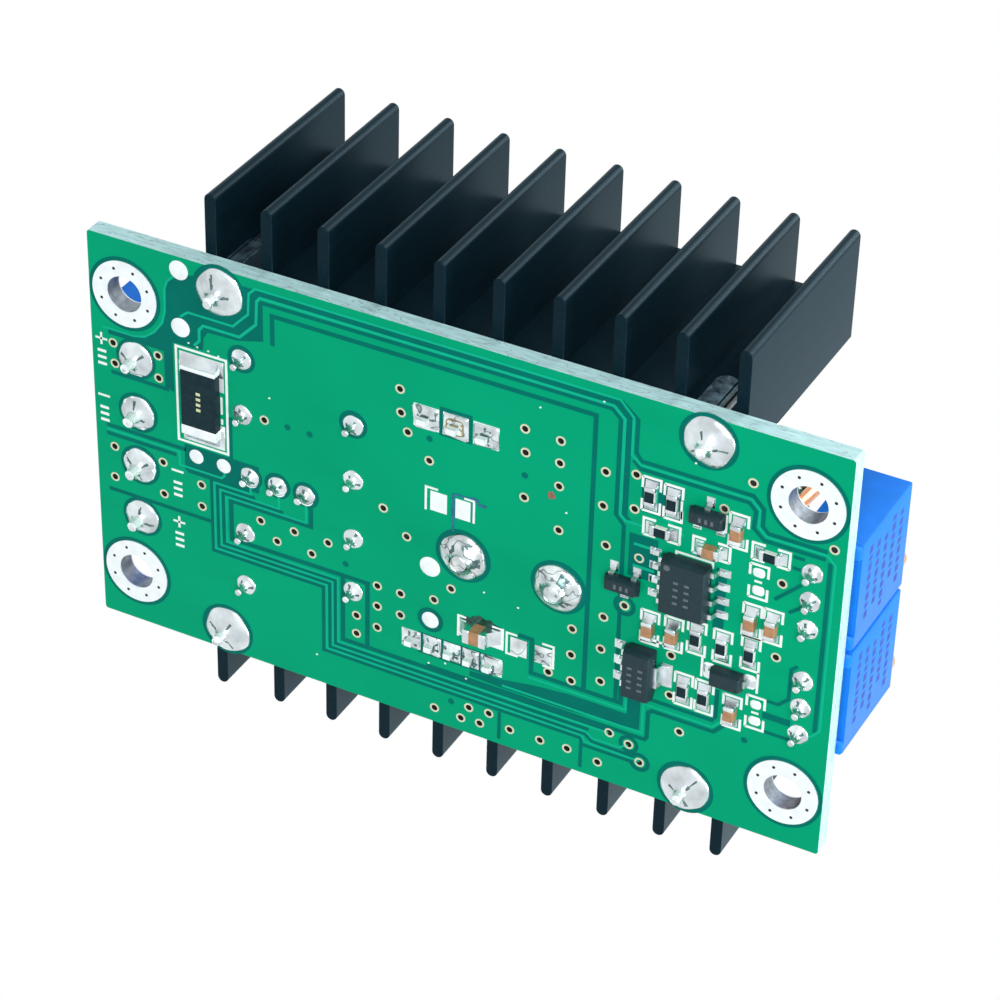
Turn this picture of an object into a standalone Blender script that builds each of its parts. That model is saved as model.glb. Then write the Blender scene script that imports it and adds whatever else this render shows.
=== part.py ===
"""Step-down dc-dc converter module: a drilled board between two finned heatsinks.

The board lies level with its component side up. +X runs from the terminal block to the
trimmers, +Y towards the rear heatsink. The origin is under the middle of the board, on the
plane that the tips of the soldered pins stand on.
"""

import math

import bmesh
import bpy
from mathutils import Matrix, Vector

mm = 0.001

# Board
BOARD_LENGTH = 65.0 * mm
BOARD_WIDTH = 36.6 * mm
BOARD_THICKNESS = 1.6 * mm

# Plan units, a millimetre each at the board's real size: places and spacings follow the
# board's length and width, and the sizes of what stands on it follow the tighter of the two
along = BOARD_LENGTH / 65.0
across = BOARD_WIDTH / 36.6
plan = min(along, across)

# Clearances
SEAT = 0.1 * mm            # between a part and what it is fixed to
RUNNING = 0.25 * mm        # round anything that turns or slides
HOLE_CLEARANCE = 0.15 * mm  # round a lead in its drilled hole
OVERLAP = 0.4 * mm         # how far joined or cut shapes run into each other

# Board corners and mounting holes
BOARD_CORNER = 0.25 * mm
MOUNT_INSET_X = 3.3 * along
MOUNT_INSET_Y = 4.9 * across
MOUNT_HOLE_DIAMETER = 3.2 * plan
MOUNT_PAD_DIAMETER = 5.9 * plan
MOUNT_PAD_RAISE = 0.1 * mm

# Heatsinks, pressed on pins that are soldered through the board
FIN_COUNT = 10
FIN_PITCH = 5.0 * along
FIN_THICKNESS = 1.0 * plan
FIN_HEIGHT = 5.9 * across
SINK_BASE = 3.5 * across
SINK_LENGTH = 20.0 * mm
SINK_OVERHANG = 5.2 * across    # fin tips past the board's long edge
SINK_X = 0.3 * along
REAR_FIN_SHIFT = 0.5 * along    # the rear sink's fins, all but the first, towards the trimmers
CHANNEL_SPACING = 41.6 * along
CHANNEL_DEPTH = 1.4 * across    # channel axis behind the base's finned face
CHANNEL_WALL = 0.75 * plan
CHANNEL_SLOT = 1.0 * plan
PIN_DIAMETER = 1.5 * plan
PIN_GRIP = 8.0 * mm         # how far a pin runs up its channel
TAP_DIAMETER = 3.0 * mm

# Power devices on the heatsinks
PACKAGE_WIDTH = 10.0 * plan
PACKAGE_HEIGHT = 9.2 * mm
PACKAGE_THICKNESS = 3.1 * plan
PACKAGE_STANDOFF = 2.6 * mm
PACKAGE_CHAMFER = 0.7 * plan
TAB_THICKNESS = 1.3 * plan
TAB_HEIGHT = 15.0 * mm
TAB_NOTCH = 1.5 * plan
TAB_HOLE_DIAMETER = 3.7 * mm
TAB_HOLE_DROP = 2.8 * mm    # hole centre below the tab's top edge
DEVICE_X = 0.35 * along
LEAD_WIDTH = 0.8 * plan
LEAD_DEPTH = 0.5 * plan
LEAD_SHOULDER = 1.3 * plan
RECTIFIER_LEAD_PITCH = 2.54 * plan
REGULATOR_LEAD_PITCH = 1.75 * plan
DEVICE_LEADS = {-1: (3, RECTIFIER_LEAD_PITCH), 1: (5, REGULATOR_LEAD_PITCH)}
INSULATOR_THICKNESS = 0.3 * mm
INSULATOR_MARGIN = 1.2 * plan
SCREW_DIAMETER = 2.6 * mm
SCREW_HEAD_DIAMETER = 5.0 * mm
SCREW_HEAD_HEIGHT = 1.9 * mm
SCREW_BITE = 2.6 * mm
WASHER_DIAMETER = 5.8 * mm
WASHER_THICKNESS = 0.6 * mm

# Inductor
CORE_X = 14.2 * along
CORE_OUTER_DIAMETER = 22.9 * plan
CORE_INNER_DIAMETER = 14.0 * plan
CORE_HEIGHT = 9.5 * mm
CORE_EDGE = 0.8 * mm
WIRE_DIAMETER = 1.1 * plan
WIRE_TURNS = 24
WIRE_SWEEP = math.radians(332)
WIRE_CORNER = 0.8 * mm
WIRE_STANDOFF = 0.3 * mm
WIRE_OUTER_LEAD = (1.25 * along, 1.15 * across)
WIRE_INNER_LEAD = (9.45 * along, 1.15 * across)

# Electrolytic capacitors
CAPACITOR_DIAMETER = 10.0 * plan
CAPACITOR_HEIGHT = 16.0 * mm
CAPACITOR_LEAD_PITCH = 5.15 * plan
CAPACITOR_LEAD_DIAMETER = 0.6 * plan
SLEEVE_WALL = 0.15 * mm
SLEEVE_LIP = 0.9 * plan
SLEEVE_FOOT = 0.7 * mm
CAPACITOR_GROOVE = 2.1 * mm
CAPACITOR_PLACES = {
    "input_capacitor_a": (-18.6 * along, 8.4 * across),
    "input_capacitor_b": (-8.6 * along, 5.45 * across),
    "output_capacitor_a": (-18.6 * along, -8.1 * across),
    "output_capacitor_b": (-8.6 * along, -5.25 * across),
}

# Terminal block
POLE_COUNT = 4
POLE_PITCH = 5.08 * plan
TERMINAL_INSET = 4.1 * along    # pin row from the board's short edge
TERMINAL_OVERHANG = 0.45 * along
TERMINAL_DEPTH = 7.8 * plan
TERMINAL_HEIGHT = 10.5 * mm
TERMINAL_SLOPE_HEIGHT = 3.4 * mm
TERMINAL_SLOPE_DEPTH = 0.9 * plan
TERMINAL_EDGE = 0.6 * mm
RAIL_INSET = 2.2 * plan
RAIL_WIDTH = 1.0 * plan
RAIL_DEPTH = 0.6 * plan
GROOVE_WIDTH = 0.4 * mm
CHAMBER_WIDTH = 4.2 * plan
CHAMBER_DEPTH = 4.4 * plan
MOUTH_WIDTH = 3.4 * plan
MOUTH_HEIGHT = 3.8 * mm
MOUTH_FLARE = 0.3 * mm
MOUTH_FLARE_DEPTH = 0.8 * mm
CLAMP_WIDTH = 3.6 * plan
CLAMP_DEPTH = 3.8 * plan
CLAMP_FOOT = 0.4 * mm        # clamp frame above the board
CLAMP_FLOOR = 0.7 * mm
CLAMP_SIDE = 0.6 * plan
CLAMP_ROOF = 1.2 * mm
CLAMP_OPENING = 4.0 * mm
CLAMP_PIN_WIDTH = 0.8 * plan
CLAMP_PIN_DEPTH = 1.0 * plan
LEAF_THICKNESS = 0.5 * mm
LEAF_NOSE = 0.5 * plan
TERMINAL_TRAVEL = 2.2 * mm   # screw and leaf from open to clamped
TERMINAL_SCREW_DIAMETER = 2.4 * plan
TERMINAL_HEAD_DIAMETER = 3.7 * plan
TERMINAL_HEAD_HEIGHT = 1.4 * mm
SLOT_WIDTH = 0.6 * mm
SLOT_DEPTH = 0.7 * mm

# Trimmers
TRIMMER_THICKNESS = 4.83 * plan
TRIMMER_WIDTH = 9.53 * plan
TRIMMER_HEIGHT = 10.03 * mm
TRIMMER_OVERHANG = 0.45 * along
TRIMMER_PIN_PITCH = 2.54 * plan
TRIMMER_PIN_DIAMETER = 0.5 * plan
TRIMMER_PIN_SHIFT = 0.55 * plan   # pin row towards the terminals from the body's middle
TRIMMER_FOOT = 0.4 * mm
TRIMMER_FOOT_WIDTH = 1.3 * plan
TRIMMER_EDGE = 0.12 * mm
TRIMMER_SCREW_DIAMETER = 2.2 * plan
TRIMMER_SCREW_RISE = 1.5 * mm
TRIMMER_SCREW_SEAT = 1.2 * mm
TRIMMER_SCREW_INSET_X = 1.4 * plan
TRIMMER_SCREW_INSET_Y = 1.4 * plan
TRIMMER_PLACES = {"voltage": -5.0 * across, "current": 4.9 * across}

# Three-lead regulator in a round-backed package
SMALL_PACKAGE_X = -15.5 * along
SMALL_PACKAGE_Y = 0.2 * across
SMALL_PACKAGE_DIAMETER = 4.6 * plan
SMALL_PACKAGE_HEIGHT = 4.6 * mm
SMALL_PACKAGE_FLAT = 1.2 * plan
SMALL_PACKAGE_STANDOFF = 3.0 * mm
SMALL_LEAD_SPREAD = 2.54 * plan
SMALL_LEAD_PITCH = 1.27 * plan
SMALL_LEAD_DIAMETER = 0.5 * plan

# Surface-mount parts under the board: length, width and height
CHIP_SIZE = (1.6 * plan, 0.8 * plan)
RESISTOR_HEIGHT = 0.45 * mm
CERAMIC_HEIGHT = 0.8 * mm
CHIP_END = 0.3 * plan
CHIP_STEP = 0.04 * mm      # a chip's body inside the faces of its metal ends
BULK_CERAMIC_SIZE = (2.0 * plan, 1.25 * plan, 1.2 * mm)
SHUNT_SIZE = (6.35 * plan, 3.2 * plan, 0.7 * mm)
SHUNT_END = 1.1 * plan
LED_SIZE = (2.0 * plan, 1.25 * plan, 0.8 * mm)
LED_END = 0.35 * plan

UPRIGHT = True
LEVEL = False
RESISTOR_PLACES = (
    (16.8, -10.0, UPRIGHT), (18.6, -9.9, UPRIGHT), (21.2, 1.6, UPRIGHT),
    (23.35, 1.65, UPRIGHT), (25.65, 1.45, UPRIGHT), (20.4, 6.85, UPRIGHT),
    (22.15, 6.9, UPRIGHT), (17.8, -7.1, LEVEL), (26.65, -7.95, LEVEL),
)
CERAMIC_PLACES = (
    (23.95, -9.2, UPRIGHT), (25.55, -1.6, UPRIGHT), (27.25, -1.65, UPRIGHT),
    (17.3, 2.05, UPRIGHT), (19.3, 1.95, UPRIGHT), (24.5, 7.4, UPRIGHT),
    (21.9, -6.85, LEVEL),
)
BULK_CERAMIC_PLACE = (2.9, 7.75, LEVEL)
SHUNT_PLACE = (-22.3, -5.75, UPRIGHT)
LED_PLACES = {
    "power": (24.6, -11.6, UPRIGHT),
    "charging": (22.6, 11.6, UPRIGHT),
    "limiting": (24.9, 11.6, UPRIGHT),
}

# Moulded chips under the board, in millimetres: body size across, along its rows and high,
# how many leads each row has, how far they reach out, their width and their thickness
CHIP_LIFT = 0.1 * mm
CHIP_DRAFT = 0.08 * mm
SMALL_CHIPS = {
    "controller_chip": dict(place=(20.3, -3.2), size=(3.9, 4.9, 1.45), turn=0, pitch=1.27,
                            rows=(4, 4), reach=0.95, lead=(0.42, 0.2)),
    "reference_chip": dict(place=(16.95, 6.0), size=(2.5, 4.5, 1.5), turn=0, pitch=1.5,
                           rows=(3, 1), reach=0.8, lead=(0.5, 0.35)),
    "steering_diode": dict(place=(24.1, 4.05), size=(2.7, 1.55, 1.1), turn=0, pitch=1.0,
                           rows=(1, 1), reach=0.55, lead=(0.6, 0.15)),
    "upper_transistor": dict(place=(21.6, -9.9), size=(1.3, 2.9, 1.0), turn=90, pitch=1.9,
                             rows=(1, 2), reach=0.55, lead=(0.45, 0.15)),
    "lower_transistor": dict(place=(15.05, -1.5), size=(1.3, 2.9, 1.0), turn=90, pitch=1.9,
                             rows=(2, 1), reach=0.55, lead=(0.45, 0.15)),
}

# Solder joints: pad radius, cone height and tip length below the board
TIP_LENGTH = 1.9 * mm
JOINTS = {
    "heatsink": dict(pad=2.05 * plan, cone=0.6 * mm, tip=TIP_LENGTH, core=0.75 * plan),
    "inductor": dict(pad=2.0 * plan, cone=0.6 * mm, tip=1.2 * mm, core=0.6 * plan),
    "terminal": dict(pad=1.55 * plan, cone=0.5 * mm, tip=1.7 * mm, core=0.5 * plan),
    "device": dict(pad=1.0 * plan, cone=0.4 * mm, tip=0.9 * mm, core=0.4 * plan),
    "five_lead": dict(pad=0.78 * plan, cone=0.4 * mm, tip=0.9 * mm, core=0.35 * plan),
    "small": dict(pad=0.85 * plan, cone=0.35 * mm, tip=1.3 * mm, core=0.3 * plan),
}

# Heights that follow from the sizes above
UNDERSIDE = TIP_LENGTH
TOP = UNDERSIDE + BOARD_THICKNESS
SINK_FINNED_FACE = BOARD_WIDTH / 2 + SINK_OVERHANG - FIN_HEIGHT
SINK_BACK = SINK_FINNED_FACE - SINK_BASE
PIN_Y = SINK_FINNED_FACE - CHANNEL_DEPTH
TAB_BACK = SINK_BACK - INSULATOR_THICKNESS - 2 * SEAT
TAB_FRONT = TAB_BACK - TAB_THICKNESS
PACKAGE_BACK = TAB_FRONT - SEAT
PACKAGE_BOTTOM = TOP + PACKAGE_STANDOFF
TAB_TOP = PACKAGE_BOTTOM + SEAT + TAB_HEIGHT
SCREW_Z = TAB_TOP - TAB_HOLE_DROP
LEAD_Y = PACKAGE_BACK - PACKAGE_THICKNESS / 2
TERMINAL_X = TERMINAL_INSET - BOARD_LENGTH / 2
TRIMMER_X = BOARD_LENGTH / 2 + TRIMMER_OVERHANG - TRIMMER_THICKNESS / 2
TRIMMER_PIN_X = TRIMMER_X - TRIMMER_PIN_SHIFT
CLAMP_TOP = CLAMP_FOOT + CLAMP_FLOOR + CLAMP_OPENING + CLAMP_ROOF
LEAF_TOP = CLAMP_TOP - CLAMP_ROOF - 1.2 * RUNNING
SCREW_TIP = LEAF_TOP + SEAT
HEAD_UNDERSIDE = CLAMP_TOP + TERMINAL_TRAVEL + RUNNING


def clear_scene():
    for item in list(bpy.data.objects):
        bpy.data.objects.remove(item, do_unlink=True)


def finish(name, colour, roughness=0.5, metallic=0.0):
    """A Principled material for one kind of surface."""
    made = bpy.data.materials.get(name)
    if made:
        return made
    made = bpy.data.materials.new(name)
    made.use_nodes = True
    shader = made.node_tree.nodes["Principled BSDF"]
    shader.inputs["Base Color"].default_value = (*colour, 1.0)
    shader.inputs["Roughness"].default_value = roughness
    shader.inputs["Metallic"].default_value = metallic
    made.diffuse_color = (*colour, 1.0)
    return made


def laminate():
    return finish("green_laminate", (0.02, 0.42, 0.22), 0.35)


def black_anodised():
    return finish("black_anodised", (0.02, 0.025, 0.03), 0.4, 0.6)


def tin():
    return finish("tin", (0.75, 0.75, 0.74), 0.3, 1.0)


def steel():
    return finish("zinc_steel", (0.62, 0.62, 0.6), 0.35, 1.0)


def brass():
    return finish("brass", (0.78, 0.55, 0.22), 0.3, 1.0)


def copper():
    return finish("enamelled_copper", (0.72, 0.3, 0.12), 0.3, 1.0)


def black_epoxy():
    return finish("black_epoxy", (0.03, 0.035, 0.04), 0.55)


def blue_plastic():
    return finish("blue_plastic", (0.02, 0.2, 0.85), 0.4)


def make_object(name, bm, surface, place=(0.0, 0.0, 0.0), smooth=True):
    """Turns a bmesh into a named object at a place, with its faces pointing out."""
    bmesh.ops.recalc_face_normals(bm, faces=bm.faces)
    mesh = bpy.data.meshes.new(name)
    bm.to_mesh(mesh)
    bm.free()
    if smooth:
        mesh.shade_smooth()
        mesh.set_sharp_from_angle(angle=math.radians(35))
    mesh.materials.append(surface)
    made = bpy.data.objects.new(name, mesh)
    made.location = place
    bpy.context.scene.collection.objects.link(made)
    return made


def add_box(bm, low, high):
    """One box between two corners."""
    size = [b - a for a, b in zip(low, high)]
    middle = [(a + b) / 2 for a, b in zip(low, high)]
    matrix = Matrix.Translation(middle) @ Matrix.Diagonal((*size, 1.0))
    return bmesh.ops.create_cube(bm, size=1.0, matrix=matrix)["verts"]


def add_prism(bm, outline, start, end, axis="z"):
    """A closed outline drawn square to an axis, and extruded along it."""
    order = {"x": lambda a, b, c: (c, a, b), "y": lambda a, b, c: (a, c, b),
             "z": lambda a, b, c: (a, b, c)}[axis]
    ring = [bm.verts.new(order(a, b, start)) for a, b in outline]
    face = bm.faces.new(ring)
    moved = bmesh.ops.extrude_face_region(bm, geom=[face])["geom"]
    step = Vector(order(0.0, 0.0, end - start))
    verts = [item for item in moved if isinstance(item, bmesh.types.BMVert)]
    bmesh.ops.translate(bm, vec=step, verts=verts)


def add_turned(bm, profile, sides, centre=(0.0, 0.0)):
    """A closed profile of radii and heights, spun round an upright axis."""
    points = [bm.verts.new((radius, 0.0, height)) for radius, height in profile]
    edges = [bm.edges.new(pair) for pair in zip(points, points[1:] + points[:1])]
    bmesh.ops.spin(bm, geom=points + edges, cent=(0, 0, 0), axis=(0, 0, 1),
                   angle=math.tau, steps=sides, use_merge=True, use_duplicate=False)
    bmesh.ops.remove_doubles(bm, verts=bm.verts, dist=0.001 * mm)
    bmesh.ops.translate(bm, vec=(*centre, 0.0), verts=bm.verts)


def add_rod(bm, radius, low, high, sides, centre=(0.0, 0.0)):
    """A round bar standing on a centre."""
    middle = Matrix.Translation((*centre, (low + high) / 2))
    bmesh.ops.create_cone(bm, cap_ends=True, segments=sides, radius1=radius,
                          radius2=radius, depth=high - low, matrix=middle)


def bridge(bm, rings):
    """Skins a solid over closed rings of as many corners, and caps its two ends."""
    for upper, lower in zip(rings, rings[1:]):
        for i in range(len(upper)):
            j = (i + 1) % len(upper)
            bm.faces.new((upper[i], lower[i], lower[j], upper[j]))
    bm.faces.new(rings[0])
    bm.faces.new(rings[-1])


def add_solid_turned(bm, profile, sides, centre=(0.0, 0.0), squared=False):
    """A turned solid from its profile's radii and heights, listed from top to bottom."""
    step = math.tau / sides
    start = step / 2 if squared else 0.0
    rings = [[bm.verts.new((centre[0] + radius * math.cos(start + i * step),
                            centre[1] + radius * math.sin(start + i * step), height))
              for i in range(sides)]
             for radius, height in profile]
    bridge(bm, rings)


def add_tube(bm, route, radius, sides):
    """A round wire along a route of points, with closed ends."""
    points = [Vector(point) for point in route]
    heading = (points[1] - points[0]).normalized()
    sideways = heading.orthogonal().normalized()
    rings = []
    for index, point in enumerate(points):
        ahead = points[min(index + 1, len(points) - 1)]
        behind = points[max(index - 1, 0)]
        turned = (ahead - behind).normalized()
        sideways = (sideways - turned * sideways.dot(turned)).normalized()
        other = turned.cross(sideways)
        rings.append([bm.verts.new(point + radius * (math.cos(a) * sideways
                                                     + math.sin(a) * other))
                      for a in (math.tau * i / sides for i in range(sides))])
    bridge(bm, rings)


def make_cutter(name, bm, place=(0.0, 0.0, 0.0)):
    """A shape that only cuts or joins others, kept out of renders."""
    cutter = make_object(name, bm, steel(), place, smooth=False)
    cutter.hide_render = True
    cutter.display_type = "WIRE"
    return cutter


def combine(target, cutter, operation):
    """Adds or removes a cutter's shape from an object."""
    modifier = target.modifiers.new(cutter.name, "BOOLEAN")
    modifier.operation = operation
    modifier.solver = "EXACT"
    modifier.object = cutter


def fuse(target, name, bm):
    """Joins one bmesh's shapes, given in world coordinates, to an object."""
    combine(target, make_cutter("cutter_" + name, bm), "UNION")


def round_edges(target, width, segments=1, angle=30):
    """Breaks an object's sharp edges."""
    modifier = target.modifiers.new("edges", "BEVEL")
    modifier.width = width
    modifier.segments = segments
    modifier.limit_method = "ANGLE"
    modifier.angle_limit = math.radians(angle)


def mount_places():
    """Centres of the four corner holes."""
    x = BOARD_LENGTH / 2 - MOUNT_INSET_X
    y = BOARD_WIDTH / 2 - MOUNT_INSET_Y
    return [(sx * x, sy * y) for sx in (-1, 1) for sy in (-1, 1)]


def sink_pin_places():
    """The four heatsink pins by corner, each with its centre."""
    half = CHANNEL_SPACING / 2
    corners = {"front_left": (-1, -1), "front_right": (1, -1),
               "rear_left": (-1, 1), "rear_right": (1, 1)}
    return {name: (SINK_X + sx * half, sy * PIN_Y) for name, (sx, sy) in corners.items()}


def spread(count, pitch):
    """Offsets of a row of equal pitch about its middle."""
    return [(i - (count - 1) / 2) * pitch for i in range(count)]


def pole_offsets():
    return spread(POLE_COUNT, POLE_PITCH)


def capacitor_lead_places(place):
    half = CAPACITOR_LEAD_PITCH / 2
    return [(place[0], place[1] + side * half) for side in (-1, 1)]


def trimmer_pin_places(y):
    return [(TRIMMER_PIN_X, y + offset) for offset in spread(3, TRIMMER_PIN_PITCH)]


def small_lead_places():
    return [(SMALL_PACKAGE_X + offset, SMALL_PACKAGE_Y)
            for offset in spread(3, SMALL_LEAD_SPREAD)]


def device_lead_places(side):
    count, pitch = DEVICE_LEADS[side]
    return [(DEVICE_X + offset, side * LEAD_Y) for offset in spread(count, pitch)]


def drilled_holes():
    """Every lead hole as its centre and the radius of what goes through it."""
    clamp_pin = math.hypot(CLAMP_PIN_WIDTH, CLAMP_PIN_DEPTH) / 2
    holes = [(place, PIN_DIAMETER / 2) for place in sink_pin_places().values()]
    holes += [((TERMINAL_X, y), clamp_pin) for y in pole_offsets()]
    holes += [(place, WIRE_DIAMETER / 2) for place in (WIRE_OUTER_LEAD, WIRE_INNER_LEAD)]
    for side in (-1, 1):
        flat_lead = math.hypot(lead_width(side), LEAD_DEPTH) / 2
        holes += [(place, flat_lead) for place in device_lead_places(side)]
    for centre in CAPACITOR_PLACES.values():
        holes += [(place, CAPACITOR_LEAD_DIAMETER / 2) for place in capacitor_lead_places(centre)]
    for y in TRIMMER_PLACES.values():
        holes += [(place, TRIMMER_PIN_DIAMETER / 2) for place in trimmer_pin_places(y)]
    holes += [(place, SMALL_LEAD_DIAMETER / 2) for place in small_lead_places()]
    return holes


def lead_width(side):
    """The rear device's five leads stand closer, so they are narrower."""
    return LEAD_WIDTH if side < 0 else LEAD_WIDTH * 0.75


def joint_profile(kind):
    """Radii and heights of a solder cone and the cut tip that stands out of it."""
    joint = JOINTS[kind]
    base = UNDERSIDE - SEAT
    waist = joint["core"] + 0.3 * (joint["pad"] - joint["core"])
    return [(joint["pad"], base), (waist, base - joint["cone"] * 0.6),
            (joint["core"], base - joint["cone"]),
            (joint["core"] * 0.8, UNDERSIDE - joint["tip"])]


def add_joint(bm, centre, kind, sides=8, squared=False):
    """A solder joint by itself, for a lead that ends inside it."""
    add_solid_turned(bm, joint_profile(kind), sides, centre, squared)


def add_soldered_pin(bm, centre, top, radius, sides, kind):
    """A round lead and the solder joint at its foot, turned as one."""
    profile = [(radius, top), (radius, UNDERSIDE - SEAT)] + joint_profile(kind)
    add_solid_turned(bm, profile, sides, centre)


def make_board():
    """The laminate: corner pads, mounting and lead holes, and its chip parts below."""
    bm = bmesh.new()
    add_box(bm, (-BOARD_LENGTH / 2, -BOARD_WIDTH / 2, UNDERSIDE),
            (BOARD_LENGTH / 2, BOARD_WIDTH / 2, TOP))
    upright = [edge for edge in bm.edges
               if abs(edge.verts[0].co.z - edge.verts[1].co.z) > BOARD_THICKNESS / 2]
    bmesh.ops.bevel(bm, geom=upright, offset=BOARD_CORNER, segments=2, profile=0.5,
                    affect="EDGES")
    board = make_object("circuit_board", bm, laminate())
    pads = bmesh.new()
    for centre in mount_places():
        add_rod(pads, MOUNT_PAD_DIAMETER / 2, UNDERSIDE - MOUNT_PAD_RAISE,
                TOP + MOUNT_PAD_RAISE, 20, centre)
    fuse(board, "mount_pads", pads)
    chips = bmesh.new()
    for place in RESISTOR_PLACES:
        add_fixed_chip(chips, chip_frame(*place), RESISTOR_HEIGHT)
    for place in CERAMIC_PLACES:
        add_fixed_chip(chips, chip_frame(*place), CERAMIC_HEIGHT)
    fuse(board, "chip_parts", chips)
    holes = bmesh.new()
    for centre in mount_places():
        add_rod(holes, MOUNT_HOLE_DIAMETER / 2, UNDERSIDE - 2 * OVERLAP, TOP + 2 * OVERLAP,
                16, centre)
    for centre, radius in drilled_holes():
        add_rod(holes, radius + 1.3 * HOLE_CLEARANCE, UNDERSIDE - OVERLAP, TOP + OVERLAP, 6,
                centre)
    combine(board, make_cutter("cutter_board_holes", holes), "DIFFERENCE")


def arc(centre, radius, start, end, steps):
    """Points along a circular arc, angles in degrees."""
    angles = [math.radians(start + (end - start) * i / steps) for i in range(steps + 1)]
    return [(centre[0] + radius * math.cos(a), centre[1] + radius * math.sin(a))
            for a in angles]


def channel_outline(x):
    """The C-shaped pin channel in the base's finned face, from its left lip to its right."""
    axis = (x, -CHANNEL_DEPTH)
    bore = PIN_DIAMETER / 2 + HOLE_CLEARANCE
    boss = max(bore + CHANNEL_WALL, CHANNEL_DEPTH + SEAT)
    lip = math.degrees(math.asin(CHANNEL_SLOT / 2 / boss))
    throat = math.degrees(math.asin(CHANNEL_SLOT / 2 / bore))
    root = math.degrees(math.acos(CHANNEL_DEPTH / boss))
    return (arc(axis, boss, 90 + root, 90 + lip, 2) + arc(axis, bore, 90 + throat, 450 - throat, 9)
            + arc(axis, boss, 90 - lip, 90 - root, 2))


def sink_outline(shift):
    """The extruded section: a base, round-tipped fins and two pin channels.

    It is drawn with the base's finned face on y = 0 and the fins along +y. All the fins but
    the first stand a shift further along x.
    """
    half = FIN_THICKNESS / 2
    outline = []
    for index, place in enumerate(spread(FIN_COUNT, FIN_PITCH)):
        x = place + (shift if index else 0.0)
        outline.append((x - half, -SINK_BASE if index == 0 else 0.0))
        outline += arc((x, FIN_HEIGHT - half), half, 180, 0, 4)
        outline.append((x + half, -SINK_BASE if index == FIN_COUNT - 1 else 0.0))
        if index == 0:
            outline += channel_outline(-CHANNEL_SPACING / 2)
        if index == FIN_COUNT - 2:
            outline += channel_outline(CHANNEL_SPACING / 2)
    return outline


def make_heatsink(name, side):
    """One heatsink with its tapped screw hole, standing on the board."""
    bm = bmesh.new()
    add_prism(bm, sink_outline(REAR_FIN_SHIFT if side > 0 else 0.0), 0.0, SINK_LENGTH)
    sink = make_object(name, bm, black_anodised(), (SINK_X, side * SINK_FINNED_FACE, TOP + SEAT))
    if side < 0:
        sink.rotation_euler = (0, 0, math.pi)
    combine(sink, screw_hole("tap_" + name, side, TAP_DIAMETER, SINK_BACK - OVERLAP,
                             SINK_BACK + SCREW_BITE + 2 * SEAT), "DIFFERENCE")


def screw_hole(name, side, diameter, near, far):
    """A cutter along a device screw's axis, between two distances from the middle."""
    bm = bmesh.new()
    add_rod(bm, diameter / 2, near, far, 12)
    bmesh.ops.rotate(bm, verts=bm.verts, cent=(0, 0, 0),
                     matrix=Matrix.Rotation(math.radians(-90 * side), 3, "X"))
    return make_cutter("cutter_" + name, bm, (DEVICE_X, 0, SCREW_Z))


def make_sink_pins():
    """Four tinned pins, pressed up the channels and soldered below."""
    for name, centre in sink_pin_places().items():
        bm = bmesh.new()
        add_soldered_pin(bm, centre, TOP + PIN_GRIP, PIN_DIAMETER / 2, 10, "heatsink")
        make_object("heatsink_pin_" + name, bm, tin())


def package_outline(side):
    """The moulded package seen from above, chamfered away from its heatsink."""
    half = PACKAGE_WIDTH / 2
    back = side * PACKAGE_BACK
    front = side * (PACKAGE_BACK - PACKAGE_THICKNESS)
    shoulder = front + side * PACKAGE_CHAMFER
    return [(-half, back), (-half, shoulder), (PACKAGE_CHAMFER - half, front),
            (half - PACKAGE_CHAMFER, front), (half, shoulder), (half, back)]


def tab_outline():
    """The metal tab seen from the front, with the notches at its neck."""
    half = PACKAGE_WIDTH / 2
    notch = PACKAGE_BOTTOM + PACKAGE_HEIGHT + TAB_NOTCH * 0.4
    right = [(half, PACKAGE_BOTTOM), (half, notch), (half - TAB_NOTCH * 0.6, notch),
             (half - TAB_NOTCH * 0.6, notch + TAB_NOTCH), (half, notch + TAB_NOTCH),
             (half, TAB_TOP - TAB_NOTCH * 0.3), (half - TAB_NOTCH * 0.3, TAB_TOP)]
    return right + [(-x, z) for x, z in reversed(right)]


def lead_outline(offset, side):
    """One flat lead seen from the front, with the wide shoulder under the package."""
    pitch = DEVICE_LEADS[side][1]
    thin = lead_width(side) / 2
    shoulder = min(LEAD_SHOULDER, pitch - 2 * RUNNING) / 2
    waist = TOP + PACKAGE_STANDOFF / 2
    foot = UNDERSIDE - 3 * SEAT
    right = [(thin, foot), (thin, waist), (shoulder, waist + RUNNING),
             (shoulder, PACKAGE_BOTTOM + OVERLAP)]
    return [(offset + x, z) for x, z in right] + [(offset - x, z) for x, z in reversed(right)]


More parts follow.
